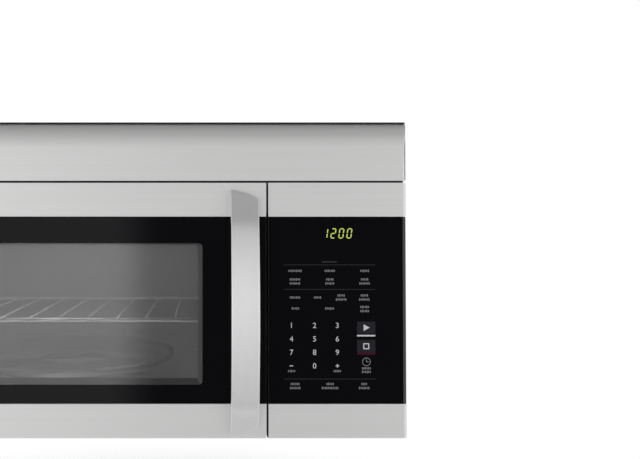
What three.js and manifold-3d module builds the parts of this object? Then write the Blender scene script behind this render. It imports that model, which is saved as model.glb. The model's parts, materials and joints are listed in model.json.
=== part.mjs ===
// Over the range microwave, in millimetres. +Z is up, the front faces -Y, and X runs to the right.
// The origin is the centre of the flat back that hangs on the wall. Inside the file heights are measured
// from the underside, and the whole appliance is lowered by half its height at the end.
import * as THREE from "three";
import { mergeVertices } from "three/addons/utils/BufferGeometryUtils.js";
import Module from "manifold-3d";

// ---------- driving dimensions ----------
const WIDTH = 759;
const HEIGHT = 417.5;
const DEPTH = 395; // wall to the door's front skin, without the handle
const FIT = 0.4; // gap between pieces that touch
const SEAM = 2.6; // shut line round the door

const CASE_SHEET = 1;
const BOLT_HOLE_R = 3.5; // for the bolts that hang the front from the wall cabinet
const BOLT_SIDE_IN = 70; // case side to a bolt
const BOLT_BACK_IN = 238; // wall to a bolt
const BACK_SHEET = 1.5;
const BASE_LIFT = 4; // base plate above the lowest edge
const BASE_SHEET = 1;
const BASE_FLANGE = 18; // folded edges of the base plate

const DOOR_THICK = 36;
const DOOR_GAP = 1.5; // door back to the cavity's front flange
const CONTROL_WIDTH = 183.2;
const VENT_HEIGHT = 77.7;
const TOP_TRIM = 45;
const BOTTOM_TRIM = 45;
const TRIM_SHEET = 0.8;
const TRIM_RETURN = 14; // how far the stainless wraps round the side
const CORNER = 4.5; // rounding of the front's outer edges
const GLASS_THICK = 3.2;
const GLASS_SIDE_GAP = 0.6; // door glass inside the door's right edge

const DOOR_STILE = 33.7; // door's right edge to the cavity's right wall
const DOOR_HEAD = 50.7; // door's top edge to the cavity ceiling
const REAR_GAP = 12.5; // wall to the cavity's rear wall
const CAVITY_FLOOR = 50; // above the underside
const CAVITY_SHEET = 1;
const SIDE_DUCT = 27.5; // air way between the case and the cavity's left wall

const WINDOW_SIDE_IN = 51; // cavity's side wall to the window
const WINDOW_SILL = 19; // cavity floor to the window
const WINDOW_HEAD = 29.5; // window to the cavity ceiling
const WINDOW_CORNER = 5;

const CHOKE_SIDE = 13.5; // choke panel inside the door's left edge
const CHOKE_OVERLAP = 18; // choke panel over the flange, right, top and bottom
const CHOKE_CHANNEL = 14;
const CHOKE_SHEET = 1;
const FRAME_DEPTH = 23; // front skin to the plastic frame's back
const LAND_SINK = 5; // window land in front of the choke channel's rim
const SCREEN_SHEET = 0.8;
const INNER_GLASS = 2.5;
const LAND_WIDTH = 8; // land round the window opening

const HANDLE_WIDTH = 36.5;
const HANDLE_RIGHT_IN = 10.8; // door's right edge to the handle
const HANDLE_BOTTOM = 3.6;
const HANDLE_LENGTH = 324;
const HANDLE_STAND = 42; // front of the bow in front of the door
const HANDLE_THICK = 11;
const HANDLE_RISE = 9; // front face at the very ends
const HANDLE_KNEE = 27; // front face where ramp meets bow
const HANDLE_RAMP = 50;
const HANDLE_FOOT = 36;
const HANDLE_SLANT = 12.5; // how much shorter the right edge is at each end
const HANDLE_BEND = [25, 4]; // where that slant's curve leans: across, and up from the end
const HANDLE_BEVEL = 1.4;

const HINGE_X_IN = 8; // hinge axis from the door's left edge
const HINGE_Y_IN = 22; // hinge axis behind the front skin
const HINGE_SHEET = 1.6;
const HINGE_PIN_R = 3;
const HINGE_PIN_LENGTH = 14;
const HINGE_EAR_R = 6.5;
const HINGE_TAPER = 5; // how much the arm narrows behind the pin
const HINGE_TAB = 26; // upright tab on the cabinet's flange
const HINGE_TAB_WIDTH = 14; // tab to the right of the hinge axis
const SKIRT_SIDE = 3.5; // door frame's rear rim inside the door's left edge

const LATCH_X_IN = 9.5; // latch centre from the door's right edge
const LATCH_THICK = 4;
const LATCH_BOTTOM = 86;
const LATCH_TOP = 250;
const LATCH_TRAVEL = 5;
const HOOK_REACH = 27; // hook behind the door's back face
const HOOK_HEIGHT = 12;
const HOOK_NOSE = 3;
const HOOK_GAP = 1.5; // play round a hook in its slot
const SPRING_TURNS = 5;
const SPRING_LENGTH = 24;
const SPRING_WIRE = 0.45;

const VENT_SHEET = 0.8;
const VENT_LEAN = 5; // top of the vent panel behind its foot
const VENT_UPRIGHT = 0.56; // share of the vent panel's height that stands upright
const VENT_LIP = 2.1; // black lip above the vent panel
const SKIRT_IN = 14; // the skirt behind the seam starts clear of the hinge
const VENT_BAND = 78; // front skin to the case's top sheet
const VENT_WALL = 2;
const LOUVRE_COUNT = 16;
const LOUVRE_LENGTH = 38;
const LOUVRE_DEPTH = 44;
const LOUVRE_BLADE = 1.6;
const LOUVRE_DROP = 9;

const DUCT_WIDTH = 254;
const DUCT_DEPTH = 83;
const DUCT_BACK_IN = 26; // wall to the duct's rear edge
const DUCT_COLLAR = 24;
const DUCT_SHEET = 1.2;
const DUCT_FLANGE = 14;
const FLAP_SHEET = 1;
const FLAP_RISE = 8; // flap above the case's top
const FLAP_PIVOT_R = 2;

const BLOWER_SHARE = 1 / 3; // wheel's radius in the room above the cavity
const BLOWER_LENGTH = 74;
const BLOWER_BLADES = 20;
const BLADE_SHEET = 1.2;
const BLADE_DEPTH = 9;
const BLOWER_LIFT = 0.48; // shaft's height in the same room
const SCROLL_START = 0.12; // scroll gap at the cut-off, in wheel radii
const SCROLL_GROWTH = 0.25; // scroll gap gained in a turn, in wheel radii
const SCROLL_SHEET = 1.2;
const BLOWER_MOTOR_SHARE = 0.86; // motor's radius in wheel radii
const BLOWER_MOTOR_LENGTH = 46;
const BLOWER_SHAFT_R = 4;
const BLOWER_SPACING = 8; // motor end to scroll

const TRAY_GAP = 12.5; // tray's rim to the cavity's front and rear
const TRAY_THICK = 5;
const TRAY_RIM = 14;
const ROLLER_R = 9;
const ROLLER_WIDTH = 8;
const ROLLER_SHARE = 0.7; // rollers' circle in tray radii
const ROLLER_COUNT = 3;
const AXLE_R = 2;
const RING_WALL = 6;
const RECESS_SHARE = 0.8; // dish of the floor in tray radii
const RECESS_DROP = 4;
const COUPLER_R = 17;
const SHAFT_HOLE_R = 7;
const MOTOR_R = 25;
const MOTOR_THICK = 17;

const RACK_HEIGHT = 98; // rack above the cavity floor
const RACK_ROD = 2.6; // radius of the rails
const RACK_WIRE = 1.6; // radius of the cross wires
const RACK_WIRES = 13;
const RACK_SIDE_GAP = 5;
const RACK_FRONT_IN = 26; // flange to the front rail
const RACK_BACK_IN = 24; // rear wall to the rear rail
const STUD_REACH = 12;
const STUD_R = 4;

const FILTER_WIDTH = 190;
const FILTER_DEPTH = 236;
const FILTER_THICK = 7;
const FILTER_FRAME = 9;
const FILTER_CENTRE = 236; // filter centre from the middle
const FILTER_BACK_IN = 62; // wall to the filter's rear edge
const FILTER_TRAVEL = 12;
const FILTER_LIP = 5;

const LAMP_WIDTH = 118;
const LAMP_DEPTH = 46;
const LAMP_FRONT_IN = 58; // door skin to the lamp opening

const MAGNETRON_WIDTH = 84;
const MAGNETRON_DEPTH = 78;
const MAGNETRON_HEIGHT = 88;
const MAGNETRON_FINS = 6;
const GUIDE_REACH = 38;
const GUIDE_DEPTH = 94;
const GUIDE_HEIGHT = 104;
const GUIDE_BACK_IN = 118; // wall to the guide's rear face
const GUIDE_TOP_IN = 10.5; // cavity ceiling to the guide's top
const APERTURE_DEPTH = 70;
const APERTURE_HEIGHT = 56;

const TRANSFORMER = { width: 104, depth: 88, height: 82, backIn: 117 };
const CAPACITOR = { width: 56, depth: 34, height: 92, frontIn: 92 };
const SHELF_SHEET = 1.2;

const FAN_R = 58;
const FAN_BLADES = 5;
const FAN_HUB_R = 14;
const FAN_DEPTH = 22;
const SHROUD_SHEET = 1.6;
const SHROUD_BACK_IN = 78;
const SHROUD_MARGIN = 12;

// ---------- planes worked out from them ----------
const LEFT = -WIDTH / 2;
const RIGHT = WIDTH / 2;
const FACE = -DEPTH;
const DOOR_BACK = FACE + DOOR_THICK;
const FLANGE_FACE = DOOR_BACK + DOOR_GAP;
const PANEL_LEFT = RIGHT - CONTROL_WIDTH;
const DOOR_RIGHT = PANEL_LEFT - SEAM;
const VENT_BOTTOM = HEIGHT - VENT_HEIGHT;
const DOOR_TOP = VENT_BOTTOM - SEAM;
const CAVITY_LEFT = LEFT + SIDE_DUCT;
const CAVITY_RIGHT = DOOR_RIGHT - DOOR_STILE;
const CAVITY_TOP = DOOR_TOP - DOOR_HEAD;
const CAVITY_BACK = -REAR_GAP;
const CAVITY_MID_X = (CAVITY_LEFT + CAVITY_RIGHT) / 2;
const CAVITY_MID_Y = (FLANGE_FACE + CAVITY_BACK) / 2;
const TRAY_R = (CAVITY_BACK - FLANGE_FACE) / 2 - TRAY_GAP;
const ROLLER_TRACK = ROLLER_SHARE * TRAY_R;
const RECESS_R = RECESS_SHARE * TRAY_R;
const WINDOW_RIGHT = CAVITY_RIGHT - WINDOW_SIDE_IN;
const WINDOW_LEFT = CAVITY_LEFT + WINDOW_SIDE_IN;
const WINDOW_BOTTOM = CAVITY_FLOOR + WINDOW_SILL;
const WINDOW_TOP = CAVITY_TOP - WINDOW_HEAD;
const FRAME_BACK = FACE + FRAME_DEPTH;
const HINGE_X = LEFT + HINGE_X_IN;
const HINGE_Y = FACE + HINGE_Y_IN;
const LATCH_X = DOOR_RIGHT - LATCH_X_IN;
const BASE_TOP = BASE_LIFT + BASE_SHEET;
const DUCT_FLOOR = CAVITY_TOP + CAVITY_SHEET;
const CASE_TOP = HEIGHT - CASE_SHEET;
const GUIDE_BOTTOM = CAVITY_TOP - GUIDE_TOP_IN - GUIDE_HEIGHT;
const BAY_LEFT = CAVITY_RIGHT + CAVITY_SHEET;
const BAY_RIGHT = RIGHT - CASE_SHEET;

// ---------- geometry helpers ----------
const wasm = await Module();
wasm.setup();
const MERGE = 1e-3; // points nearer than this are one

/** A geometry with its shared corners merged and its faces out; faces that collapse are dropped. */
function tidied(geometry) {
  const bare = geometry.clone();
  bare.deleteAttribute("normal");
  bare.deleteAttribute("uv");
  const merged = mergeVertices(bare, 1e-4);
  const position = merged.attributes.position;
  const corners = [0, 1, 2].map(() => new THREE.Vector3());
  const faces = [];
  let volume = 0;
  for (let i = 0; i < merged.index.count; i += 3) {
    const [a, b, c] = [0, 1, 2].map((k) => merged.index.getX(i + k));
    if (a === b || b === c || c === a) continue;
    faces.push([a, b, c]);
    corners.forEach((corner, k) => corner.fromBufferAttribute(position, [a, b, c][k]));
    volume += corners[0].dot(corners[1].cross(corners[2]));
  }
  const outward = volume > 0 ? faces : faces.map(([a, b, c]) => [a, c, b]);
  return merged.setIndex(outward.flat());
}

/** A closed geometry as a solid that can be cut and joined. */
function solidOf(geometry) {
  const whole = geometry.userData.closed ? geometry : tidied(geometry);
  const vertProperties = Float32Array.from(whole.attributes.position.array);
  const triVerts = Uint32Array.from(whole.index.array);
  return new wasm.Manifold(new wasm.Mesh({ numProp: 3, vertProperties, triVerts }));
}

/** A solid back as a geometry. */
function geometryOf(solid) {
  const { vertProperties, triVerts } = solid.simplify(MERGE).getMesh();
  const geometry = new THREE.BufferGeometry();
  geometry.userData.closed = true;
  geometry.setAttribute("position", new THREE.BufferAttribute(vertProperties, 3));
  geometry.setIndex(new THREE.BufferAttribute(triVerts, 1));
  geometry.computeVertexNormals();
  return geometry;
}

const join = (...pieces) => geometryOf(pieces.map(solidOf).reduce((all, next) => all.add(next)));

const cut = (body, ...tools) =>
  geometryOf(tools.map(solidOf).reduce((left, tool) => left.subtract(tool), solidOf(body)));

const common = (a, b) => geometryOf(solidOf(a).intersect(solidOf(b)));

/** A closed path round a rectangle, with corners of radius r. */
function rectangle(x0, y0, x1, y1, r = 0, Kind = THREE.Shape) {
  const path = new Kind();
  if (r <= 0) {
    path.moveTo(x0, y0).lineTo(x1, y0).lineTo(x1, y1).lineTo(x0, y1).lineTo(x0, y0);
    return path;
  }
  path.moveTo(x0 + r, y0).lineTo(x1 - r, y0).absarc(x1 - r, y0 + r, r, -Math.PI / 2, 0);
  path.lineTo(x1, y1 - r).absarc(x1 - r, y1 - r, r, 0, Math.PI / 2);
  path.lineTo(x0 + r, y1).absarc(x0 + r, y1 - r, r, Math.PI / 2, Math.PI);
  path.lineTo(x0, y0 + r).absarc(x0 + r, y0 + r, r, Math.PI, 1.5 * Math.PI);
  return path;
}

/** A rectangle's path as a hole. */
const opening = (x0, y0, x1, y1, r = 0) => rectangle(x0, y0, x1, y1, r, THREE.Path);

/** A shape with holes in it. */
function pierced(shape, ...holes) {
  shape.holes.push(...holes);
  return shape;
}

/** A frame's shape: a rectangle inset evenly from another. */
const ringShape = (x0, y0, x1, y1, wall, r = 0) =>
  pierced(
    rectangle(x0, y0, x1, y1, r),
    opening(x0 + wall, y0 + wall, x1 - wall, y1 - wall, Math.max(r - wall, 0)),
  );

const circle = (x, y, r, Kind = THREE.Shape) => new Kind().absarc(x, y, r, 0, 2 * Math.PI);

/** A shape's outlines as corners, without the doubles where an arc meets a line. */
function cornered(shape, arcSteps) {
  const outlines = shape.extractPoints(arcSteps);
  const apart = (points) => points.filter((p, i) => p.distanceTo(points[(i + 1) % points.length]) > MERGE);
  const clean = new THREE.Shape(apart(outlines.shape));
  clean.holes = outlines.holes.map((hole) => new THREE.Path(apart(hole)));
  return clean;
}

function extruded(drawn, depth, arcSteps, bevel) {
  const shape = cornered(drawn, arcSteps);
  if (!bevel) return new THREE.ExtrudeGeometry(shape, { depth, bevelEnabled: false });
  return new THREE.ExtrudeGeometry(shape, {
    depth: depth - 2 * bevel,
    bevelEnabled: true,
    bevelThickness: bevel,
    bevelSize: bevel,
    bevelOffset: -bevel,
    bevelSegments: 2,
  }).translate(0, 0, bevel);
}

const basis = (x, y, z) =>
  new THREE.Matrix4().makeBasis(new THREE.Vector3(...x), new THREE.Vector3(...y), new THREE.Vector3(...z));
const FROM_YZ = basis([0, 1, 0], [0, 0, 1], [1, 0, 0]);
const FROM_XZ = basis([1, 0, 0], [0, 0, 1], [0, -1, 0]);

/** A shape drawn in Y and Z, extruded from x0 to x1. */
const alongX = (shape, x0, x1, arcSteps = 1, bevel = 0) =>
  extruded(shape, x1 - x0, arcSteps, bevel).applyMatrix4(FROM_YZ).translate(x0, 0, 0);

/** A shape drawn in X and Z, extruded from y0 (front) to y1 (back). */
const alongY = (shape, y0, y1, arcSteps = 1) =>
  extruded(shape, y1 - y0, arcSteps).applyMatrix4(FROM_XZ).translate(0, y1, 0);

/** A shape drawn in X and Y, extruded from z0 to z1. */
const alongZ = (shape, z0, z1, arcSteps = 1) => extruded(shape, z1 - z0, arcSteps).translate(0, 0, z0);

/** A square-edged block between two corners. */
const block = (x0, y0, z0, x1, y1, z1) => alongZ(rectangle(x0, y0, x1, y1), z0, z1);

/** A profile of [radius, height] points turned round the Z axis; the profile runs anticlockwise. */
const turned = (profile, sides = 32) =>
  new THREE.LatheGeometry(
    profile.map(([r, z]) => new THREE.Vector2(r, z)),
    sides,
  ).rotateX(Math.PI / 2);

const turnedToX = (geometry) => geometry.rotateY(Math.PI / 2);
const turnedToY = (geometry) => geometry.rotateX(-Math.PI / 2);

/** A solid round rod on the Z axis. */
const rod = (r, z0, z1, sides = 16) =>
  turned(
    [
      [0, z0],
      [r, z0],
      [r, z1],
      [0, z1],
    ],
    sides,
  );

/** A round tube on the Z axis. */
const tube = (inner, outer, z0, z1, sides = 32) =>
  turned(
    [
      [inner, z0],
      [outer, z0],
      [outer, z1],
      [inner, z1],
      [inner, z0],
    ],
    sides,
  );

/** Copies of a geometry turned about the Z axis. */
const around = (count, make) =>
  Array.from({ length: count }, (_, i) => make(i).rotateZ((2 * Math.PI * i) / count));

/** Centres of count equal places between two ends. */
const spread = (count, from, to) =>
  Array.from({ length: count }, (_, i) => from + ((i + 0.5) * (to - from)) / count);

// ---------- materials ----------
const finish = (color, roughness, metalness) => () =>
  new THREE.MeshStandardMaterial({ color, roughness, metalness });
const STAINLESS = finish(0xc4c5c4, 0.35, 0.9);
const POLISHED = finish(0xd4d5d5, 0.25, 0.95);
const BLACK_GLASS = finish(0x0b0c0d, 0.08, 0);
const CLEAR_GLASS = finish(0xaab4b4, 0.05, 0);
const BLACK_PLASTIC = finish(0x18191b, 0.45, 0);
const GREY_PLASTIC = finish(0x8d8f91, 0.5, 0);
const CASE_PAINT = finish(0x2a2b2d, 0.5, 0.2);
const CAVITY_PAINT = finish(0xb9bbb8, 0.4, 0.1);
const GALVANISED = finish(0xa9adb0, 0.45, 0.8);
const ALUMINIUM = finish(0xb7babc, 0.4, 0.85);
const CHROME = finish(0xcfd2d4, 0.15, 1);
const COPPER = finish(0xa5602f, 0.4, 0.7);
const MICA = finish(0xb8a77f, 0.6, 0);
const CARBON = finish(0x1c1c1c, 0.9, 0);
const BOARD_GREEN = finish(0x1f5a36, 0.6, 0);

/** Adds one named piece to a group. */
function piece(group, name, geometry, material) {
  const mesh = new THREE.Mesh(tidied(geometry), material());
  mesh.geometry.computeVertexNormals();
  mesh.name = name;
  group.add(mesh);
  return mesh;
}

// ---------- casing ----------
function ductHole(clear) {
  const back = -DUCT_BACK_IN + clear;
  return rectangle(-DUCT_WIDTH / 2 - clear, back - DUCT_DEPTH - 2 * clear, DUCT_WIDTH / 2 + clear, back, 3);
}

function outerCase() {
  const outside = new THREE.Shape();
  const bend = HEIGHT - CORNER;
  const inner = CORNER - CASE_SHEET;
  outside.moveTo(LEFT, BASE_LIFT).lineTo(LEFT + CASE_SHEET, BASE_LIFT).lineTo(LEFT + CASE_SHEET, bend);
  outside.absarc(LEFT + CORNER, bend, inner, Math.PI, Math.PI / 2, true);
  outside.lineTo(RIGHT - CORNER, CASE_TOP).absarc(RIGHT - CORNER, bend, inner, Math.PI / 2, 0, true);
  outside.lineTo(RIGHT - CASE_SHEET, BASE_LIFT).lineTo(RIGHT, BASE_LIFT);
  outside.lineTo(RIGHT, bend).absarc(RIGHT - CORNER, bend, CORNER, 0, Math.PI / 2);
  outside.lineTo(LEFT + CORNER, HEIGHT).absarc(LEFT + CORNER, bend, CORNER, Math.PI / 2, Math.PI);
  outside.lineTo(LEFT, BASE_LIFT);
  const wrap = alongY(outside, FLANGE_FACE, -BACK_SHEET - FIT, 2);
  const ventBand = block(LEFT - 1, FLANGE_FACE - 1, VENT_BOTTOM - FIT, RIGHT + 1, FACE + VENT_BAND, HEIGHT + 1);
  const duct = alongZ(ductHole(FIT), CASE_TOP - 5, HEIGHT + 5);
  const bolts = [LEFT + BOLT_SIDE_IN, RIGHT - BOLT_SIDE_IN].map((x) =>
    rod(BOLT_HOLE_R, CASE_TOP - 5, HEIGHT + 5, 12).translate(x, -BOLT_BACK_IN, 0),
  );
  return cut(wrap, ventBand, duct, ...bolts);
}

function backPlate() {
  const slotWidth = 64;
  const slotHeight = 14;
  const slotCentre = WIDTH / 4;
  const sheet = rectangle(LEFT, BASE_LIFT, RIGHT, HEIGHT, CORNER);
  for (const side of [-1, 1]) {
    const x = side * slotCentre;
    const z = BASE_LIFT + 22;
    sheet.holes.push(opening(x - slotWidth / 2, z, x + slotWidth / 2, z + slotHeight, 3));
  }
  return alongY(sheet, -BACK_SHEET, 0);
}

const filterX = (side) => side * FILTER_CENTRE;
const FILTER_FRONT = -FILTER_BACK_IN - FILTER_DEPTH;

function basePlate() {
  const inLeft = LEFT + CASE_SHEET + FIT;
  const inRight = RIGHT - CASE_SHEET - FIT;
  const front = FLANGE_FACE + CAVITY_SHEET + FIT;
  const back = -BACK_SHEET - FIT;
  const sheet = rectangle(inLeft, front, inRight, back);
  for (const side of [-1, 1]) {
    const x0 = filterX(side) - FILTER_WIDTH / 2 + FILTER_LIP;
    const x1 = filterX(side) + FILTER_WIDTH / 2 - FILTER_LIP - FILTER_TRAVEL;
    sheet.holes.push(opening(x0, FILTER_FRONT + FILTER_LIP, x1, -FILTER_BACK_IN - FILTER_LIP, 4));
  }
  const lampFront = FACE + LAMP_FRONT_IN;
  sheet.holes.push(opening(-LAMP_WIDTH / 2, lampFront, LAMP_WIDTH / 2, lampFront + LAMP_DEPTH, 4));
  const edge = alongZ(ringShape(inLeft, front, inRight, back, BASE_SHEET), BASE_LIFT, BASE_LIFT + BASE_FLANGE);
  return join(alongZ(sheet, BASE_LIFT, BASE_TOP), edge);
}

function greaseFilter(side) {
  const x0 = filterX(side) - FILTER_WIDTH / 2;
  const x1 = x0 + FILTER_WIDTH;
  const y0 = FILTER_FRONT;
  const z0 = BASE_TOP + FIT;
  const frame = alongZ(ringShape(x0, y0, x1, -FILTER_BACK_IN, FILTER_FRAME, 3), z0, z0 + FILTER_THICK);
  const meshDeep = FILTER_THICK / 4;
  const lowX = x0 + FILTER_FRAME - 1;
  const highX = x1 - FILTER_FRAME + 1;
  const pleats = new THREE.Shape();
  const count = 12;
  const pitch = (highX - lowX) / count;
  pleats.moveTo(lowX, z0 + meshDeep);
  for (let i = 0; i < count; i += 1) {
    pleats.lineTo(lowX + (i + 0.5) * pitch, z0 + FILTER_THICK - 2 * meshDeep);
    pleats.lineTo(lowX + (i + 1) * pitch, z0 + meshDeep);
  }
  pleats.lineTo(highX, z0 + 2 * meshDeep);
  for (let i = count - 1; i >= 0; i -= 1) {
    pleats.lineTo(lowX + (i + 0.5) * pitch, z0 + FILTER_THICK - meshDeep);
    pleats.lineTo(lowX + i * pitch, z0 + 2 * meshDeep);
  }
  return join(frame, alongY(pleats, y0 + FILTER_FRAME - 1, -FILTER_BACK_IN - FILTER_FRAME + 1));
}

function lampLens() {
  const y0 = FACE + LAMP_FRONT_IN;
  const z0 = BASE_TOP + FIT;
  const rim = 7;
  const plate = alongZ(
    rectangle(-LAMP_WIDTH / 2 - rim, y0 - rim, LAMP_WIDTH / 2 + rim, y0 + LAMP_DEPTH + rim, 5),
    z0,
    z0 + 2,
  );
  const bowl = alongZ(
    rectangle(-LAMP_WIDTH / 2 + FIT, y0 + FIT, LAMP_WIDTH / 2 - FIT, y0 + LAMP_DEPTH - FIT, 4),
    BASE_LIFT - 1,
    z0 + 1,
  );
  return join(plate, bowl);
}

function buildCasing(cabinet) {
  piece(cabinet, "outer_case", outerCase(), CASE_PAINT);
  piece(cabinet, "back_plate", backPlate(), GALVANISED);
  piece(cabinet, "base_plate", basePlate(), CASE_PAINT);
  piece(cabinet, "cooktop_lamp_lens", lampLens(), CLEAR_GLASS);
  piece(cabinet, "grease_filter_left", greaseFilter(-1), ALUMINIUM);
  piece(cabinet, "grease_filter_right", greaseFilter(1), ALUMINIUM);
}

// ---------- oven cavity ----------
const hookSlots = () =>
  [LATCH_BOTTOM, LATCH_TOP - HOOK_HEIGHT].map((z) =>
    opening(
      LATCH_X - LATCH_THICK / 2 - HOOK_GAP,
      z - HOOK_NOSE - HOOK_GAP,
      LATCH_X + LATCH_THICK / 2 + HOOK_GAP,
      z + HOOK_HEIGHT + LATCH_TRAVEL + HOOK_GAP,
    ),
  );

function frontFlange() {
  const sheet = rectangle(LEFT + CASE_SHEET + FIT, BASE_LIFT, BAY_LEFT + 44, VENT_BOTTOM - FIT);
  sheet.holes.push(opening(CAVITY_LEFT, CAVITY_FLOOR, CAVITY_RIGHT, CAVITY_TOP, 4));
  sheet.holes.push(...hookSlots());
  return alongY(sheet, FLANGE_FACE, FLANGE_FACE + CAVITY_SHEET);
}

const WALL_FRONT = FLANGE_FACE + CAVITY_SHEET + FIT;

/** The floor, with the round recess that the rollers run in. */
function cavityFloor() {
  const below = CAVITY_FLOOR - CAVITY_SHEET;
  const slope = 5;
  const sheet = rectangle(CAVITY_LEFT, WALL_FRONT, CAVITY_RIGHT, CAVITY_BACK);
  sheet.holes.push(circle(CAVITY_MID_X, CAVITY_MID_Y, RECESS_R + 1.5 * slope, THREE.Path));
  const dish = turned(
    [
      [SHAFT_HOLE_R, below - RECESS_DROP],
      [RECESS_R, below - RECESS_DROP],
      [RECESS_R + slope, below],
      [RECESS_R + 2 * slope, below],
      [RECESS_R + 2 * slope, CAVITY_FLOOR],
      [RECESS_R + slope, CAVITY_FLOOR],
      [RECESS_R, CAVITY_FLOOR - RECESS_DROP],
      [SHAFT_HOLE_R, CAVITY_FLOOR - RECESS_DROP],
      [SHAFT_HOLE_R, below - RECESS_DROP],
    ],
    32,
  ).translate(CAVITY_MID_X, CAVITY_MID_Y, 0);
  return join(alongZ(sheet, below, CAVITY_FLOOR, 16), dish);
}

function cavityCeiling() {
  const sheet = rectangle(CAVITY_LEFT, WALL_FRONT, CAVITY_RIGHT, CAVITY_BACK);
  const pitch = 11;
  for (let column = 0; column < 4; column += 1) {
    for (let row = 0; row < 3; row += 1) {
      const x = CAVITY_MID_X + (column - 1.5) * pitch;
      const hole = circle(x, CAVITY_MID_Y + (row - 1) * pitch, 3.2, THREE.Path);
      sheet.holes.push(hole);
    }
  }
  return alongZ(sheet, CAVITY_TOP, CAVITY_TOP + CAVITY_SHEET, 3);
}

/** A side wall with the two studs that the rack rests on; the right one (side 1) carries the waveguide. */
function cavitySide(side) {
  const inner = side < 0 ? CAVITY_LEFT : CAVITY_RIGHT;
  const x0 = side < 0 ? inner - CAVITY_SHEET : inner;
  const sheet = rectangle(WALL_FRONT, CAVITY_FLOOR, CAVITY_BACK, CAVITY_TOP);
  if (side > 0) {
    const y0 = -GUIDE_BACK_IN - GUIDE_DEPTH / 2 - APERTURE_DEPTH / 2;
    const z0 = GUIDE_BOTTOM + (GUIDE_HEIGHT - APERTURE_HEIGHT) / 2;
    sheet.holes.push(opening(y0, z0, y0 + APERTURE_DEPTH, z0 + APERTURE_HEIGHT));
  }
  const z = CAVITY_FLOOR + RACK_HEIGHT - RACK_ROD - FIT - STUD_R;
  const studs = [RACK_FRONT_Y + 34, RACK_BACK_Y - 34].map((y) =>
    turnedToX(rod(STUD_R, -CAVITY_SHEET / 2, STUD_REACH, 12))
      .scale(side < 0 ? 1 : -1, 1, 1)
      .translate(inner, y, z),
  );
  const wall = join(alongX(sheet, x0, x0 + CAVITY_SHEET), ...studs);
  return side > 0 ? join(wall, waveguide()) : wall;
}

const RACK_FRONT_Y = FLANGE_FACE + RACK_FRONT_IN;
const RACK_BACK_Y = CAVITY_BACK - RACK_BACK_IN;

function cavityRear() {
  const wide = rectangle(
    CAVITY_LEFT - CAVITY_SHEET,
    CAVITY_FLOOR - CAVITY_SHEET,
    CAVITY_RIGHT + CAVITY_SHEET,
    CAVITY_TOP + CAVITY_SHEET,
    3,
  );
  const back = CAVITY_BACK + FIT;
  const panel = alongY(wide, back, back + CAVITY_SHEET);
  const pressed = alongY(
    rectangle(CAVITY_LEFT + 40, CAVITY_FLOOR + 40, CAVITY_RIGHT - 40, CAVITY_TOP - 40, 16),
    back - 2,
    back + CAVITY_SHEET / 2,
  );
  const hollow = alongY(
    rectangle(CAVITY_LEFT + 41, CAVITY_FLOOR + 41, CAVITY_RIGHT - 41, CAVITY_TOP - 41, 15),
    back - 1,
    back + CAVITY_SHEET + 1,
  );
  return cut(join(panel, pressed), hollow);
}

function waveguideCover() {
  const y0 = -GUIDE_BACK_IN - GUIDE_DEPTH / 2 - APERTURE_DEPTH / 2;
  const z0 = GUIDE_BOTTOM + (GUIDE_HEIGHT - APERTURE_HEIGHT) / 2;
  const lap = 9;
  const sheet = rectangle(y0 - lap, z0 - lap, y0 + APERTURE_DEPTH + lap, z0 + APERTURE_HEIGHT + lap, 4);
  return alongX(sheet, CAVITY_RIGHT - FIT - 0.8, CAVITY_RIGHT - FIT);
}

/** The cooking rack: two rails, two end bars and the cross wires between them. */
function cookingRack() {
  const z = CAVITY_FLOOR + RACK_HEIGHT;
  const x0 = CAVITY_LEFT + RACK_SIDE_GAP + RACK_ROD;
  const x1 = CAVITY_RIGHT - RACK_SIDE_GAP - RACK_ROD;
  const loop = ringShape(
    x0 - RACK_ROD,
    RACK_FRONT_Y - RACK_ROD,
    x1 + RACK_ROD,
    RACK_BACK_Y + RACK_ROD,
    2 * RACK_ROD,
    14,
  );
  const frame = alongZ(loop, z - RACK_ROD, z + RACK_ROD, 4);
  const wires = spread(RACK_WIRES, x0, x1).map((x) =>
    turnedToY(rod(RACK_WIRE, RACK_FRONT_Y, RACK_BACK_Y, 6)).translate(x, 0, z),
  );
  return join(frame, ...wires);
}

function cavityLamp() {
  const z0 = CAVITY_TOP + CAVITY_SHEET + FIT;
  const plate = alongZ(
    rectangle(CAVITY_MID_X - 38, CAVITY_MID_Y - 26, CAVITY_MID_X + 38, CAVITY_MID_Y + 26, 4),
    z0 + 18,
    z0 + 19.5,
  );
  const skirt = tube(22, 24, z0, z0 + 19, 24).translate(CAVITY_MID_X, CAVITY_MID_Y, 0);
  const bulb = turned(
    [
      [0, z0 + 3],
      [5, z0 + 5],
      [7, z0 + 9],
      [5, z0 + 14],
      [5, z0 + 19],
      [0, z0 + 19],
    ],
    14,
  ).translate(CAVITY_MID_X, CAVITY_MID_Y, 0);
  return join(plate, skirt, bulb);
}

function buildCavity(cabinet) {
  piece(cabinet, "front_flange", frontFlange(), CAVITY_PAINT);
  piece(cabinet, "cavity_floor", cavityFloor(), CAVITY_PAINT);
  piece(cabinet, "cavity_ceiling", cavityCeiling(), CAVITY_PAINT);
  piece(cabinet, "cavity_left_wall", cavitySide(-1), CAVITY_PAINT).position.x = -FIT;
  piece(cabinet, "cavity_right_wall", cavitySide(1), CAVITY_PAINT).position.x = FIT;
  piece(cabinet, "cavity_rear_wall", cavityRear(), CAVITY_PAINT);
  piece(cabinet, "waveguide_cover", waveguideCover(), MICA);
  piece(cabinet, "cooking_rack", cookingRack(), CHROME);
  piece(cabinet, "cavity_lamp", cavityLamp(), GALVANISED);
}

// ---------- turntable ----------
const TRACK_Z = CAVITY_FLOOR - RECESS_DROP;
const AXLE_Z = TRACK_Z + FIT + ROLLER_R;
const TRAY_Z = AXLE_Z + ROLLER_R + FIT;

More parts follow.
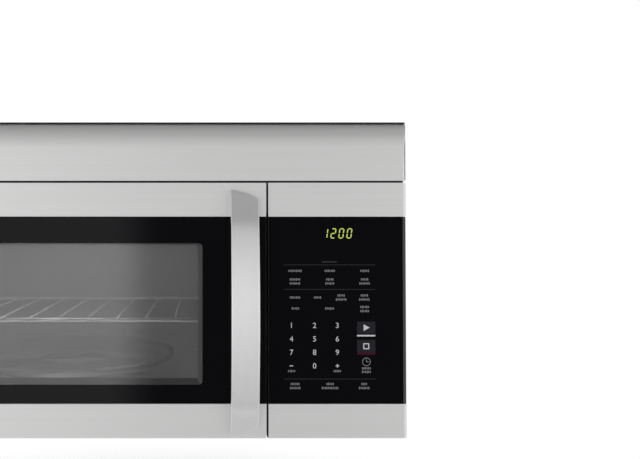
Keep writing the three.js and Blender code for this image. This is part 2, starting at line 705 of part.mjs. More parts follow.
function glassTray() {
  const rimR = TRAY_R - TRAY_RIM;
  const lip = TRAY_THICK - 1;
  const dish = turned(
    [
      [0, TRAY_Z],
      [rimR, TRAY_Z],
      [TRAY_R, TRAY_Z + TRAY_RIM - lip / 2],
      [TRAY_R, TRAY_Z + TRAY_RIM + lip / 2],
      [TRAY_R - lip, TRAY_Z + TRAY_RIM + lip / 2],
      [rimR - 1, TRAY_Z + TRAY_THICK],
      [0, TRAY_Z + TRAY_THICK],
    ],
    40,
  );
  const lugs = around(3, () =>
    rod(3, TRAY_Z - 4, TRAY_Z + 1, 10)
      .translate(COUPLER_R - 3, 0, 0)
      .rotateZ(Math.PI / 3),
  );
  return join(dish, ...lugs);
}

/** The three-armed hub that carries the tray, on the motor's shaft. */
function driveCoupler() {
  const top = TRAY_Z - FIT;
  const stem = rod(SHAFT_HOLE_R - 1.5, BASE_TOP + FIT + MOTOR_THICK + 1.2, top, 18);
  const hub = rod(8.5, TRACK_Z + 2, top, 18);
  const arms = around(3, () => block(0, -3, top - 5, COUPLER_R, 3, top));
  return join(stem, hub, ...arms);
}

function rollerRing() {
  const inner = ROLLER_TRACK - ROLLER_WIDTH / 2 - FIT - RING_WALL;
  const hoop = tube(inner, inner + RING_WALL, AXLE_Z - 3.5, AXLE_Z + 3.5, 30);
  const end = ROLLER_TRACK + ROLLER_WIDTH / 2 + FIT;
  const axles = around(ROLLER_COUNT, () =>
    join(rod(AXLE_R, inner + RING_WALL / 2, end + 1, 10), rod(AXLE_R + 1.4, end, end + 1.6, 10))
      .rotateY(Math.PI / 2)
      .translate(0, 0, AXLE_Z),
  );
  return join(hoop, ...axles);
}

function rollerWheel() {
  const half = ROLLER_WIDTH / 2;
  return turnedToX(tube(AXLE_R + FIT, ROLLER_R, -half, half, 16));
}

function turntableMotor() {
  const z0 = BASE_TOP + FIT;
  const can = rod(MOTOR_R, z0, z0 + MOTOR_THICK, 28);
  const ears = block(-MOTOR_R - 9, -6, z0 + MOTOR_THICK - 1.2, MOTOR_R + 9, 6, z0 + MOTOR_THICK);
  const boss = rod(4, z0 + MOTOR_THICK - 1, z0 + MOTOR_THICK + 0.8, 14);
  return join(can, ears, boss);
}

function buildTurntable(cabinet) {
  const centre = new THREE.Group();
  centre.position.set(CAVITY_MID_X, CAVITY_MID_Y, 0);
  cabinet.add(centre);
  piece(centre, "turntable_motor", turntableMotor(), GALVANISED);
  piece(centre, "drive_coupler", driveCoupler(), GREY_PLASTIC);
  piece(centre, "glass_tray", glassTray(), CLEAR_GLASS);
  piece(centre, "roller_ring", rollerRing(), GREY_PLASTIC);
  for (let i = 0; i < ROLLER_COUNT; i += 1) {
    const angle = (2 * Math.PI * i) / ROLLER_COUNT;
    const wheel = piece(centre, `roller_wheel_${i + 1}`, rollerWheel(), GREY_PLASTIC);
    wheel.position.set(ROLLER_TRACK * Math.cos(angle), ROLLER_TRACK * Math.sin(angle), AXLE_Z);
    wheel.rotation.z = angle;
  }
}

// ---------- vent: panel, grille, filter ----------
const VENT_TOP = HEIGHT - VENT_LIP;
const VENT_BEND = VENT_BOTTOM + VENT_UPRIGHT * (VENT_TOP - VENT_BOTTOM);

/** The vent panel's front line from foot to top: upright, then rolled back. */
function ventFront(path, offset) {
  path.lineTo(FACE + offset, VENT_BOTTOM + offset).lineTo(FACE + offset, VENT_BEND);
  const mid = (VENT_BEND + VENT_TOP) / 2;
  path.quadraticCurveTo(FACE + offset, mid, FACE + VENT_LEAN + offset, VENT_TOP - offset);
}

function ventPanel() {
  const back = FACE + TRIM_RETURN;
  const section = new THREE.Shape();
  section.moveTo(back, VENT_BOTTOM);
  ventFront(section, 0);
  section.lineTo(back, VENT_TOP);
  section.lineTo(back, VENT_BOTTOM);
  const inside = new THREE.Shape();
  inside.moveTo(back + 1, VENT_BOTTOM + VENT_SHEET);
  ventFront(inside, VENT_SHEET);
  inside.lineTo(back + 1, VENT_TOP - VENT_SHEET);
  inside.lineTo(back + 1, VENT_BOTTOM + VENT_SHEET);
  const full = alongX(section, LEFT, RIGHT, 6);
  const plan = rectangle(LEFT, FACE, RIGHT, FACE + 4 * TRIM_RETURN, CORNER);
  const rounded = common(full, alongZ(plan, VENT_BOTTOM - 1, HEIGHT, 3));
  return cut(rounded, alongX(inside, LEFT + VENT_SHEET, RIGHT - VENT_SHEET, 6));
}

/** The black moulding behind the vent panel, with a row of louvres in its top. */
function ventGrille() {
  const front = FACE + VENT_SHEET;
  const back = FACE + VENT_BAND - FIT;
  const low = VENT_BOTTOM + VENT_SHEET + FIT;
  const underLip = VENT_TOP - VENT_SHEET - FIT;
  const wallFront = FACE + TRIM_RETURN + FIT;
  const top = rectangle(LEFT + 1, front, RIGHT - 1, back, 2);
  const lidSheet = alongZ(top, HEIGHT - VENT_LIP + FIT, HEIGHT);
  const fascia = block(LEFT + 2, wallFront, low, RIGHT - 2, wallFront + VENT_WALL, HEIGHT - 1);
  const skirt = block(LEFT + SKIRT_IN, wallFront, DOOR_TOP + FIT, RIGHT - 1, wallFront + VENT_WALL, low + 2);
  const ends = [LEFT + 2, RIGHT - 2 - VENT_WALL].map((x) =>
    block(x, wallFront, VENT_BOTTOM + FIT, x + VENT_WALL, back, HEIGHT - 1),
  );
  const slots = [];
  const blades = [];
  const y0 = wallFront + VENT_WALL + 2;
  const y1 = y0 + LOUVRE_DEPTH;
  for (const x of spread(LOUVRE_COUNT, LEFT + 16, RIGHT - 16)) {
    slots.push(block(x - LOUVRE_LENGTH / 2, y0, underLip - 5, x + LOUVRE_LENGTH / 2, y1, HEIGHT + 1));
  }
  for (const share of [0.33, 0.67]) {
    const y = y0 + share * LOUVRE_DEPTH;
    const blade = new THREE.Shape();
    blade.moveTo(y, HEIGHT - 0.2).lineTo(y - LOUVRE_BLADE, HEIGHT - 0.2);
    blade.lineTo(y - LOUVRE_BLADE + LOUVRE_DROP / 2, HEIGHT - LOUVRE_DROP);
    blade.lineTo(y + LOUVRE_DROP / 2, HEIGHT - LOUVRE_DROP).lineTo(y, HEIGHT - 0.2);
    blades.push(alongX(blade, LEFT + 4, RIGHT - 4));
  }
  const shell = cut(join(lidSheet, fascia, skirt, ...ends), join(...slots));
  return join(shell, ...blades);
}

function charcoalFilter() {
  const x0 = 30;
  const x1 = RIGHT - 40;
  const y0 = FACE + TRIM_RETURN + VENT_WALL + 2 * FIT;
  const z0 = VENT_BOTTOM + 4;
  const z1 = HEIGHT - LOUVRE_DROP - 3;
  const thick = 12;
  const frame = alongY(ringShape(x0, z0, x1, z1, 6, 2), y0, y0 + thick);
  const bed = rectangle(x0 + 5, z0 + 5, x1 - 5, z1 - 5);
  return join(frame, alongY(bed, y0 + 3, y0 + thick - 3));
}

function buildVent(cabinet) {
  piece(cabinet, "vent_panel", ventPanel(), STAINLESS);
  piece(cabinet, "vent_grille", ventGrille(), BLACK_PLASTIC);
  piece(cabinet, "charcoal_filter", charcoalFilter(), CARBON);
}

// ---------- vent blower ----------
const BLOWER_ROOM = CASE_TOP - DUCT_FLOOR;
const BLOWER_R = BLOWER_SHARE * BLOWER_ROOM;
const BLOWER_MOTOR_R = BLOWER_MOTOR_SHARE * BLOWER_R;
const BLOWER_Z = DUCT_FLOOR + BLOWER_LIFT * BLOWER_ROOM;
const BLOWER_Y = -DUCT_BACK_IN - DUCT_DEPTH / 2;
const SCROLL_X = BLOWER_MOTOR_LENGTH / 2 + BLOWER_SPACING;
const SCROLL_WIDTH = BLOWER_LENGTH + 2 * (SCROLL_SHEET + 2);

/** The scroll's outline in Y and Z: a spiral that opens up into the outlet. */
function scrollShape(offset, top) {
  const shape = new THREE.Shape();
  const steps = 18;
  const start = Math.PI * 0.06;
  const sweep = Math.PI * 1.44;
  const radius = (share) => BLOWER_R * (1 + SCROLL_START + SCROLL_GROWTH * share) + offset;
  for (let i = 0; i <= steps; i += 1) {
    const share = i / steps;
    const angle = start - share * sweep;
    const y = BLOWER_Y + radius(share) * Math.cos(angle);
    const z = BLOWER_Z + radius(share) * Math.sin(angle);
    if (i === 0) shape.moveTo(y, top).lineTo(y, z);
    else shape.lineTo(y, z);
  }
  shape.lineTo(BLOWER_Y - radius(1), top);
  return shape;
}

function scroll(side) {
  const x0 = side < 0 ? -SCROLL_X - SCROLL_WIDTH : SCROLL_X;
  const x1 = x0 + SCROLL_WIDTH;
  const top = CASE_TOP - DUCT_SHEET - 2 * FIT;
  const outside = alongX(scrollShape(SCROLL_SHEET, top), x0, x1);
  const inside = alongX(scrollShape(0, top + 5), x0 + SCROLL_SHEET, x1 - SCROLL_SHEET);
  const inlet = turnedToX(rod(BLOWER_R - BLADE_DEPTH, x0 - 2, x1 + 2, 22)).translate(0, BLOWER_Y, BLOWER_Z);
  return cut(outside, inside, inlet);
}

function blowerHousing() {
  const half = SCROLL_X + SCROLL_WIDTH;
  const deep = BLOWER_R * (1 + SCROLL_START + SCROLL_GROWTH);
  const z0 = DUCT_FLOOR + FIT;
  const plate = alongZ(
    rectangle(-half - 6, BLOWER_Y - deep, half + 6, BLOWER_Y + deep - 8, 6),
    z0,
    z0 + SCROLL_SHEET,
  );
  const saddles = [-1, 1].flatMap((side) =>
    [0.5].map((share) => {
      const x = side * (SCROLL_X + share * SCROLL_WIDTH);
      const leg = block(x - 1, BLOWER_Y - 26, z0, x + 1, BLOWER_Y + 26, BLOWER_Z);
      const bore = alongX(scrollShape(SCROLL_SHEET / 2, CASE_TOP), x - 3, x + 3);
      return cut(leg, bore);
    }),
  );
  return join(scroll(-1), scroll(1), plate, ...saddles);
}

function blowerMotor() {
  const half = BLOWER_MOTOR_LENGTH / 2;
  const can = turnedToX(
    turned(
      [
        [BLOWER_SHAFT_R + FIT, -half],
        [BLOWER_MOTOR_R - 8, -half],
        [BLOWER_MOTOR_R, -half + 8],
        [BLOWER_MOTOR_R, half - 8],
        [BLOWER_MOTOR_R - 8, half],
        [BLOWER_SHAFT_R + FIT, half],
        [BLOWER_SHAFT_R + FIT, -half],
      ],
      28,
    ),
  ).translate(0, BLOWER_Y, BLOWER_Z);
  const foot = DUCT_FLOOR + SCROLL_SHEET + 2 * FIT;
  const legs = [-1, 1].map((side) => {
    const x = side * (half - 12);
    return block(x - 1.5, BLOWER_Y - 22, foot, x + 1.5, BLOWER_Y + 22, BLOWER_Z - BLOWER_MOTOR_R + 8);
  });
  return join(can, ...legs);
}

/** One squirrel-cage wheel on the Z axis: a hub disc, an inlet ring and forward-curved blades between. */
function squirrelCage() {
  const half = BLOWER_LENGTH / 2;
  const inner = BLOWER_R - BLADE_DEPTH;
  const ring = tube(inner - 1, BLOWER_R, half - 2, half, 20);
  const disc = tube(BLOWER_SHAFT_R + FIT, BLOWER_R, -half, 2 - half, 20);
  const hub = tube(BLOWER_SHAFT_R + FIT, 10, -half, 16 - half, 12);
  const tip = BLOWER_R - 1.4;
  const curl = BLADE_DEPTH * 0.45;
  const blades = around(BLOWER_BLADES, () => {
    const outline = new THREE.Shape();
    outline.moveTo(inner, 0).quadraticCurveTo(inner + BLADE_DEPTH / 2, 0, tip, curl);
    outline.lineTo(tip, curl + BLADE_SHEET);
    outline.quadraticCurveTo(inner + BLADE_DEPTH / 2, BLADE_SHEET, inner, BLADE_SHEET);
    return alongZ(outline, -half + 1, half - 1, 2);
  });
  return join(disc, hub, ring, ...blades);
}

function buildBlower(cabinet) {
  piece(cabinet, "blower_housing", blowerHousing(), GALVANISED);
  piece(cabinet, "blower_motor", blowerMotor(), GALVANISED);
  const wheelX = SCROLL_X + SCROLL_WIDTH / 2;
  for (const [name, side] of [["blower_wheel_left", -1], ["blower_wheel_right", 1]]) {
    const wheel = piece(cabinet, name, turnedToX(squirrelCage()), BLACK_PLASTIC);
    wheel.position.set(side * wheelX, BLOWER_Y, BLOWER_Z);
    wheel.rotation.z = side < 0 ? Math.PI : 0;
  }
  const reach = wheelX + 16;
  const shaft = turnedToX(rod(BLOWER_SHAFT_R, -reach, reach, 14));
  piece(cabinet, "blower_shaft", shaft, GALVANISED).position.set(0, BLOWER_Y, BLOWER_Z);
}

// ---------- duct adaptor ----------
const DUCT_BACK = -DUCT_BACK_IN;
const DUCT_FRONT = DUCT_BACK - DUCT_DEPTH;
const FLAP_Z = HEIGHT + FLAP_RISE;
const FLAP_PIVOT_Y = DUCT_BACK - FLAP_PIVOT_R - 2;

function ductAdaptor() {
  const half = DUCT_WIDTH / 2;
  const z0 = CASE_TOP - FIT - DUCT_SHEET;
  const collar = alongZ(
    ringShape(-half, DUCT_FRONT, half, DUCT_BACK, DUCT_SHEET, 3),
    z0,
    HEIGHT + DUCT_COLLAR,
  );
  const flange = pierced(
    rectangle(-half - DUCT_FLANGE, DUCT_FRONT - DUCT_FLANGE, half + DUCT_FLANGE, DUCT_BACK + DUCT_FLANGE, 4),
    opening(-half + DUCT_SHEET, DUCT_FRONT + DUCT_SHEET, half - DUCT_SHEET, DUCT_BACK - DUCT_SHEET, 2),
  );
  const stop = alongZ(
    rectangle(-half + 0.5, DUCT_FRONT + 0.5, half - 0.5, DUCT_FRONT + 5),
    FLAP_Z - FLAP_SHEET / 2 - FIT - 1.2,
    FLAP_Z - FLAP_SHEET / 2 - FIT,
  );
  const pivots = turnedToX(rod(FLAP_PIVOT_R + FIT, -half - 1, half + 1, 12)).translate(0, FLAP_PIVOT_Y, FLAP_Z);
  return cut(join(collar, alongZ(flange, z0, z0 + DUCT_SHEET), stop), pivots);
}

function damperFlap() {
  const half = DUCT_WIDTH / 2 - DUCT_SHEET - 1;
  const plate = block(
    -half,
    DUCT_FRONT + DUCT_SHEET + 1,
    FLAP_Z - FLAP_SHEET / 2,
    half,
    FLAP_PIVOT_Y,
    FLAP_Z + FLAP_SHEET / 2,
  );
  const pin = turnedToX(rod(FLAP_PIVOT_R, -DUCT_WIDTH / 2 - 1, DUCT_WIDTH / 2 + 1, 12));
  return join(plate, pin.translate(0, FLAP_PIVOT_Y, FLAP_Z));
}

function buildDuct(cabinet) {
  piece(cabinet, "duct_adaptor", ductAdaptor(), GALVANISED);
  piece(cabinet, "damper_flap", damperFlap(), ALUMINIUM);
}

// ---------- component bay ----------
const SHELF_TOP = CAVITY_FLOOR - 2;
const BAY_MID_X = (BAY_LEFT + BAY_RIGHT) / 2;

function chassisShelf() {
  const x0 = BAY_LEFT + 3;
  const x1 = BAY_RIGHT - 1;
  const section = new THREE.Shape();
  section.moveTo(x0, SHELF_TOP - SHELF_SHEET).lineTo(x1 - SHELF_SHEET, SHELF_TOP - SHELF_SHEET);
  section.lineTo(x1 - SHELF_SHEET, SHELF_TOP - 16).lineTo(x1, SHELF_TOP - 16).lineTo(x1, SHELF_TOP);
  section.lineTo(x0, SHELF_TOP).lineTo(x0, SHELF_TOP - SHELF_SHEET);
  return alongY(section, WALL_FRONT + 4, CAVITY_BACK);
}

/** A transformer: laminated core with two windings bulging out of its windows. */
function transformer() {
  const { width, depth, height, backIn } = TRANSFORMER;
  const z0 = SHELF_TOP + FIT;
  const y0 = -backIn - depth;
  const x0 = BAY_MID_X - width / 2 + 8;
  const feet = alongZ(rectangle(x0 - 9, y0 - 4, x0 + width + 9, y0 + depth + 4, 3), z0, z0 + 2);
  const slots = spread(2, x0 + 10, x0 + width - 10).map((x) =>
    opening(x - 11, z0 + 16, x + 11, z0 + height - 16, 2),
  );
  const core = alongY(pierced(rectangle(x0, z0, x0 + width, z0 + height, 3), ...slots), y0 + 18, y0 + depth - 18);
  const coils = [
    [z0 + 18, z0 + height / 2 - 2],
    [z0 + height / 2 + 2, z0 + height - 18],
  ].map(([low, high]) => alongZ(rectangle(x0 + 14, y0, x0 + width - 14, y0 + depth, 14), low, high, 2));
  return join(feet, core, ...coils);
}

function capacitor() {
  const { width, depth, height, frontIn } = CAPACITOR;
  const z0 = SHELF_TOP + FIT;
  const y0 = FACE + frontIn;
  const x1 = BAY_RIGHT - 14;
  const can = alongZ(rectangle(x1 - width, y0, x1, y0 + depth, depth / 2 - 1), z0, z0 + height, 4);
  const tabs = [0.3, 0.7].map((share) =>
    block(x1 - width * share - 3, y0 + depth / 2 - 0.5, z0 + height - 1, x1 - width * share + 3, y0 + depth / 2 + 0.5, z0 + height + 9),
  );
  return join(can, ...tabs);
}

const GUIDE_X0 = CAVITY_RIGHT + CAVITY_SHEET / 2;
const GUIDE_Y1 = -GUIDE_BACK_IN;
const GUIDE_Y0 = GUIDE_Y1 - GUIDE_DEPTH;
const ANTENNA_R = 10;

/** The folded box that leads the microwaves from the magnetron to the cavity wall. */
function waveguide() {
  const x1 = GUIDE_X0 + GUIDE_REACH;
  const walls = alongX(
    ringShape(GUIDE_Y0, GUIDE_BOTTOM, GUIDE_Y1, GUIDE_BOTTOM + GUIDE_HEIGHT, 1.2, 3),
    GUIDE_X0,
    x1,
  );
  const end = rectangle(GUIDE_Y0, GUIDE_BOTTOM, GUIDE_Y1, GUIDE_BOTTOM + GUIDE_HEIGHT, 3);
  const midY = (GUIDE_Y0 + GUIDE_Y1) / 2;
  const midZ = GUIDE_BOTTOM + GUIDE_HEIGHT / 2;
  end.holes.push(circle(midY, midZ, ANTENNA_R + 3, THREE.Path));
  return join(walls, alongX(end, x1 - 1.2, x1, 8));
}

/** A magnetron: yoke, stack of cooling fins, anode and the antenna into the waveguide. */
function magnetron() {
  const x0 = GUIDE_X0 + GUIDE_REACH + 2 * FIT;
  const x1 = x0 + MAGNETRON_WIDTH;
  const midY = (GUIDE_Y0 + GUIDE_Y1) / 2;
  const midZ = GUIDE_BOTTOM + GUIDE_HEIGHT / 2;
  const y0 = midY - MAGNETRON_DEPTH / 2;
  const z0 = midZ - MAGNETRON_HEIGHT / 2;
  const yokeSection = new THREE.Shape();
  yokeSection.moveTo(x0, z0).lineTo(x1, z0).lineTo(x1, z0 + MAGNETRON_HEIGHT);
  yokeSection.lineTo(x0, z0 + MAGNETRON_HEIGHT).lineTo(x0, z0);
  yokeSection.holes.push(opening(x0 + 2, z0 + 2, x1 - 16, z0 + MAGNETRON_HEIGHT - 2));
  const yoke = alongY(yokeSection, y0, y0 + MAGNETRON_DEPTH);
  const axis = (geometry) => turnedToX(geometry).translate(0, midY, midZ);
  const anode = axis(rod(20, x0 + 1, x1 - 10, 14));
  const antenna = axis(rod(ANTENNA_R, x0 - GUIDE_REACH / 2, x0 + 4, 14));
  const fins = spread(MAGNETRON_FINS, x0 + 12, x1 - 20).map((x) =>
    block(x - 0.5, y0, z0 + 1, x + 0.5, y0 + MAGNETRON_DEPTH, z0 + MAGNETRON_HEIGHT - 1),
  );
  return join(yoke, anode, antenna, ...fins);
}

const FAN_X = BAY_MID_X + 4;
const FAN_Z = SHELF_TOP + FAN_R + SHROUD_MARGIN + 60;
const SHROUD_Y = -SHROUD_BACK_IN;

/** The shroud plate with its round throat, three arms and the motor that they hold. */
function fanShroud() {
  const half = FAN_R + SHROUD_MARGIN;
  const throat = FAN_R + 2;
  const plate = alongY(
    pierced(
      rectangle(FAN_X - half, SHELF_TOP + FIT, FAN_X + half, FAN_Z + half, 4),
      circle(FAN_X, FAN_Z, throat + 0.8, THREE.Path),
    ),
    SHROUD_Y,
    SHROUD_Y + SHROUD_SHEET,
    12,
  );
  const back = FAN_DEPTH + 8;
  const ring = tube(throat, throat + 1.6, 0, FAN_DEPTH - 4, 24);
  const arms = around(3, () => block(0, -4, back, throat + 1.4, 4, back + 2).rotateZ(Math.PI / 2));
  const posts = around(3, () => block(throat - 0.2, -4, 0, throat + 1.6, 4, back + 2).rotateZ(Math.PI / 2));
  const can = rod(24, back, back + 26, 18);
  const motor = turnedToY(join(ring, ...arms, ...posts, can)).translate(FAN_X, SHROUD_Y, FAN_Z);
  return join(plate, motor);
}

/** An axial wheel of twisted blades, on the Z axis. */
function fanWheel() {
  const hub = turned(
    [
      [0, 2],
      [FAN_HUB_R - 4, 2],
      [FAN_HUB_R, 6],
      [FAN_HUB_R, FAN_DEPTH + 4],
      [0, FAN_DEPTH + 4],
    ],
    24,
  );
  const blades = around(FAN_BLADES, () => {
    const plan = new THREE.Shape();
    plan.moveTo(FAN_HUB_R - 3, -7).quadraticCurveTo(FAN_R * 0.6, -24, FAN_R - 3, -22);
    plan.absarc(0, 0, Math.hypot(FAN_R - 3, 22) - 5, -0.36, 0.22);
    plan.quadraticCurveTo(FAN_R * 0.5, 10, FAN_HUB_R - 3, 8);
    const blade = extruded(plan, 1.4, 3);
    const pitch = new THREE.Matrix4().makeRotationX(0.42);
    return blade.applyMatrix4(pitch).translate(0, 0, FAN_DEPTH / 2 + 2);
  });
  return common(join(hub, ...blades), rod(FAN_R, 0, FAN_DEPTH + 6, 32));
}

function buildBay(cabinet) {
  piece(cabinet, "chassis_shelf", chassisShelf(), GALVANISED);
  piece(cabinet, "hv_transformer", transformer(), COPPER);
  piece(cabinet, "hv_capacitor", capacitor(), ALUMINIUM);
  piece(cabinet, "magnetron", magnetron(), ALUMINIUM);
  piece(cabinet, "fan_shroud", fanShroud(), GREY_PLASTIC);
  const wheel = piece(cabinet, "cooling_fan", turnedToY(fanWheel()), GREY_PLASTIC);
  wheel.position.set(FAN_X, SHROUD_Y, FAN_Z);
}

// ---------- stainless strips ----------
/** A strip's plan: flat front with its outer corner rounded and wrapped back; side is the wrapped end. */
function stripPlan(x0, x1, side) {
  const plan = new THREE.Shape();
  const back = FACE + TRIM_RETURN;
  const inner = CORNER - TRIM_SHEET;
  if (side > 0) {
    plan.moveTo(x0, FACE).lineTo(x1 - CORNER, FACE);
    plan.absarc(x1 - CORNER, FACE + CORNER, CORNER, -Math.PI / 2, 0);
    plan.lineTo(x1, back).lineTo(x1 - TRIM_SHEET, back).lineTo(x1 - TRIM_SHEET, FACE + CORNER);
    plan.absarc(x1 - CORNER, FACE + CORNER, inner, 0, -Math.PI / 2, true);
    plan.lineTo(x0, FACE + TRIM_SHEET).lineTo(x0, FACE);
    return plan;
  }
  plan.moveTo(x1, FACE).lineTo(x1, FACE + TRIM_SHEET).lineTo(x0 + CORNER, FACE + TRIM_SHEET);
  plan.absarc(x0 + CORNER, FACE + CORNER, inner, -Math.PI / 2, -Math.PI, true);
  plan.lineTo(x0 + TRIM_SHEET, back).lineTo(x0, back).lineTo(x0, FACE + CORNER);
  plan.absarc(x0 + CORNER, FACE + CORNER, CORNER, -Math.PI, -Math.PI / 2);
  plan.lineTo(x1, FACE);
  return plan;
}

/** A stainless strip with its folded upper or lower edge; fold is 1 for top, -1 for bottom. */
function trimStrip(x0, x1, z0, z1, side, fold) {
  const wall = alongZ(stripPlan(x0, x1, side), z0, z1, 3);
  const end = side > 0 ? [x0 + 2, x1 - CORNER] : [x0 + CORNER, x1 - 2];
  const edge = fold > 0 ? z1 - TRIM_SHEET : z0;
  const lip = block(end[0], FACE + TRIM_SHEET / 2, edge, end[1], FACE + TRIM_RETURN, edge + TRIM_SHEET);
  return join(wall, lip);
}

const GLASS_BOTTOM = BOTTOM_TRIM + FIT;
const GLASS_TOP = DOOR_TOP - TOP_TRIM - FIT;

/** A moulded body behind strips and glass: full-size rim at the strips, stepped back behind the glass. */
function steppedBody(x0, x1, back, side) {
  const behindTrim = FACE + TRIM_SHEET + FIT;
  const behindGlass = FACE + GLASS_THICK + 2 * FIT;
  const inX0 = side < 0 ? x0 + TRIM_SHEET + FIT : x0;
  const inX1 = side > 0 ? x1 - TRIM_SHEET - FIT : x1;
  const low = TRIM_SHEET + FIT;
  const high = DOOR_TOP - TRIM_SHEET - FIT;
  const radius = CORNER - TRIM_SHEET - FIT;
  const step = FACE + TRIM_RETURN + FIT;
  const plan = (front) => {
    const shape = new THREE.Shape();
    if (side > 0) {
      shape.moveTo(x0, front).lineTo(inX1 - radius, front).lineTo(inX1, front + radius);
      shape.lineTo(inX1, step).lineTo(x1, step).lineTo(x1, back).lineTo(x0, back).lineTo(x0, front);
      return shape;
    }
    shape.moveTo(x1, front).lineTo(x1, back).lineTo(x0, back).lineTo(x0, step).lineTo(inX0, step);
    shape.lineTo(inX0, front + radius).lineTo(inX0 + radius, front).lineTo(x1, front);
    return shape;
  };
  const middle = new THREE.Shape();
  const edge = FACE + 1;
  if (side > 0) {
    middle.moveTo(x0, behindGlass).lineTo(x1 - CORNER - FIT, behindGlass).lineTo(x1 - CORNER - FIT, edge);
    middle.lineTo(x1 - CORNER, edge).quadraticCurveTo(x1, edge, x1, edge + CORNER);
    middle.lineTo(x1, back).lineTo(x0, back).lineTo(x0, behindGlass);
  } else {
    middle.moveTo(x1, behindGlass).lineTo(x1, back).lineTo(x0, back).lineTo(x0, edge + CORNER);
    middle.quadraticCurveTo(x0, edge, x0 + CORNER, edge).lineTo(x0 + CORNER + FIT, edge);
    middle.lineTo(x0 + CORNER + FIT, behindGlass).lineTo(x1, behindGlass);
  }
  return join(
    alongZ(plan(behindTrim), low, BOTTOM_TRIM - radius),
    alongZ(plan(behindTrim), DOOR_TOP - TOP_TRIM + radius, high),
    alongZ(plan(behindGlass), low, high),
    alongZ(middle, BOTTOM_TRIM + FIT, DOOR_TOP - TOP_TRIM - FIT, 3),
  );
}

// ---------- control panel ----------
const DISPLAY = { x0: 60, x1: 130, fromTop: 52, height: 28 };
const BOARD = { sideIn: 8, foot: 60, topIn: 107, behindGlass: 14, sheet: 1.6 };

function controlHousing() {
  const back = FLANGE_FACE - FIT;
  const body = steppedBody(PANEL_LEFT, RIGHT, back, 1);
  const wall = 3;
  const hollow = block(
    PANEL_LEFT + wall,
    FACE + GLASS_THICK + 2 * FIT + wall,
    TRIM_SHEET + FIT + wall,
    RIGHT - CORNER - wall,
    back + 5,
    DOOR_TOP - TRIM_SHEET - FIT - wall,
  );
  const top = DOOR_TOP - DISPLAY.fromTop;
  const displayHole = block(
    PANEL_LEFT + DISPLAY.x0,
    FACE - 1,
    top - DISPLAY.height,
    PANEL_LEFT + DISPLAY.x1,
    back,
    top,
  );
  return cut(body, hollow, displayHole);
}

function touchPanel() {
  const plan = rectangle(PANEL_LEFT + 0.6, GLASS_BOTTOM, RIGHT - CORNER - 2 * FIT, GLASS_TOP, 1);
  return alongY(plan, FACE + FIT / 2, FACE + GLASS_THICK);
}

function displayModule() {
  const top = DOOR_TOP - DISPLAY.fromTop - 2;
  const x0 = PANEL_LEFT + DISPLAY.x0 + 2;
  const x1 = PANEL_LEFT + DISPLAY.x1 - 2;
  const bottom = top - DISPLAY.height + 4;
  const y0 = FACE + GLASS_THICK + FIT;
  const lens = alongY(rectangle(x0, bottom, x1, top, 1), y0, y0 + 9);
  const carrier = alongY(rectangle(x0 - 10, bottom - 8, x1 + 10, top + 8, 2), y0 + 8.6, y0 + 10.2);
  return join(lens, carrier);
}

/** The circuit board with its relays, supply, chip and sockets, placed from the board's own edges. */
function controlBoard() {
  const y0 = FACE + GLASS_THICK + FIT + BOARD.behindGlass;
  const left = PANEL_LEFT + BOARD.sideIn;
  const right = RIGHT - CORNER - BOARD.sideIn;
  const top = DOOR_TOP - BOARD.topIn;
  const on = (x, z, width, height, thick) =>
    block(left + x, y0 + 1, BOARD.foot + z, left + x + width, y0 + BOARD.sheet + thick, BOARD.foot + z + height);
  const board = alongY(rectangle(left, BOARD.foot, right, top, 2), y0, y0 + BOARD.sheet);
  const pitch = (right - left) / 6;
  const relays = [0, 1, 2].map((i) => on(BOARD.sideIn * 2 + pitch * i, 18, 19, 14, 11.4));
  const supply = on(right - left - 52, 18, 36, 34, 13.4);
  const chip = on((right - left) / 3, 100, 36, 14, 2.4);
  const sockets = [1, 3].map((i) => on(pitch * i - 5, top - BOARD.foot - 22, 24, 10, 8.4));
  return join(board, ...relays, supply, chip, ...sockets);
}

function buildControls(cabinet) {
  piece(cabinet, "control_housing", controlHousing(), BLACK_PLASTIC);
  const upper = trimStrip(PANEL_LEFT, RIGHT, DOOR_TOP - TOP_TRIM, DOOR_TOP, 1, 1);
  const lower = trimStrip(PANEL_LEFT, RIGHT, 0, BOTTOM_TRIM, 1, -1);
  piece(cabinet, "control_top_trim", upper, STAINLESS);
  piece(cabinet, "control_bottom_trim", lower, STAINLESS);
  piece(cabinet, "touch_panel", touchPanel(), BLACK_GLASS);
  piece(cabinet, "display_module", displayModule(), BLACK_PLASTIC);
  piece(cabinet, "control_board", controlBoard(), BOARD_GREEN);
}

// ---------- door ----------
function chokeLimits() {
  return {
    x0: LEFT + CHOKE_SIDE,
    x1: CAVITY_RIGHT + CHOKE_OVERLAP,
    z0: CAVITY_FLOOR - CHOKE_OVERLAP,
    z1: CAVITY_TOP + CHOKE_OVERLAP,
  };
}

/** The frame's rim round the choke panel, clear of the cabinet as the door turns. */
function doorSkirt() {
  const { x0, x1, z0, z1 } = chokeLimits();
  const low = TRIM_SHEET + FIT;
  const rim = rectangle(LEFT + SKIRT_SIDE, low, DOOR_RIGHT, DOOR_TOP - low);
  rim.holes.push(opening(x0 - FIT, z0 - FIT, x1 + FIT, z1 + FIT, 3));
  const tabEnd = HINGE_X + HINGE_TAB_WIDTH + 2;
  const tabRoom = HINGE_TAB + 4;
  const corners = [
    [LOWER_HINGE_Z - 5, LOWER_HINGE_Z + tabRoom],
    [UPPER_HINGE_Z - tabRoom, UPPER_HINGE_Z + 5],
  ].map(([z, top]) => block(LEFT - 1, FRAME_BACK - 1, z, tabEnd, DOOR_BACK + 1, top));
  return cut(alongY(rim, FRAME_BACK - 0.5, DOOR_BACK), ...corners);
}

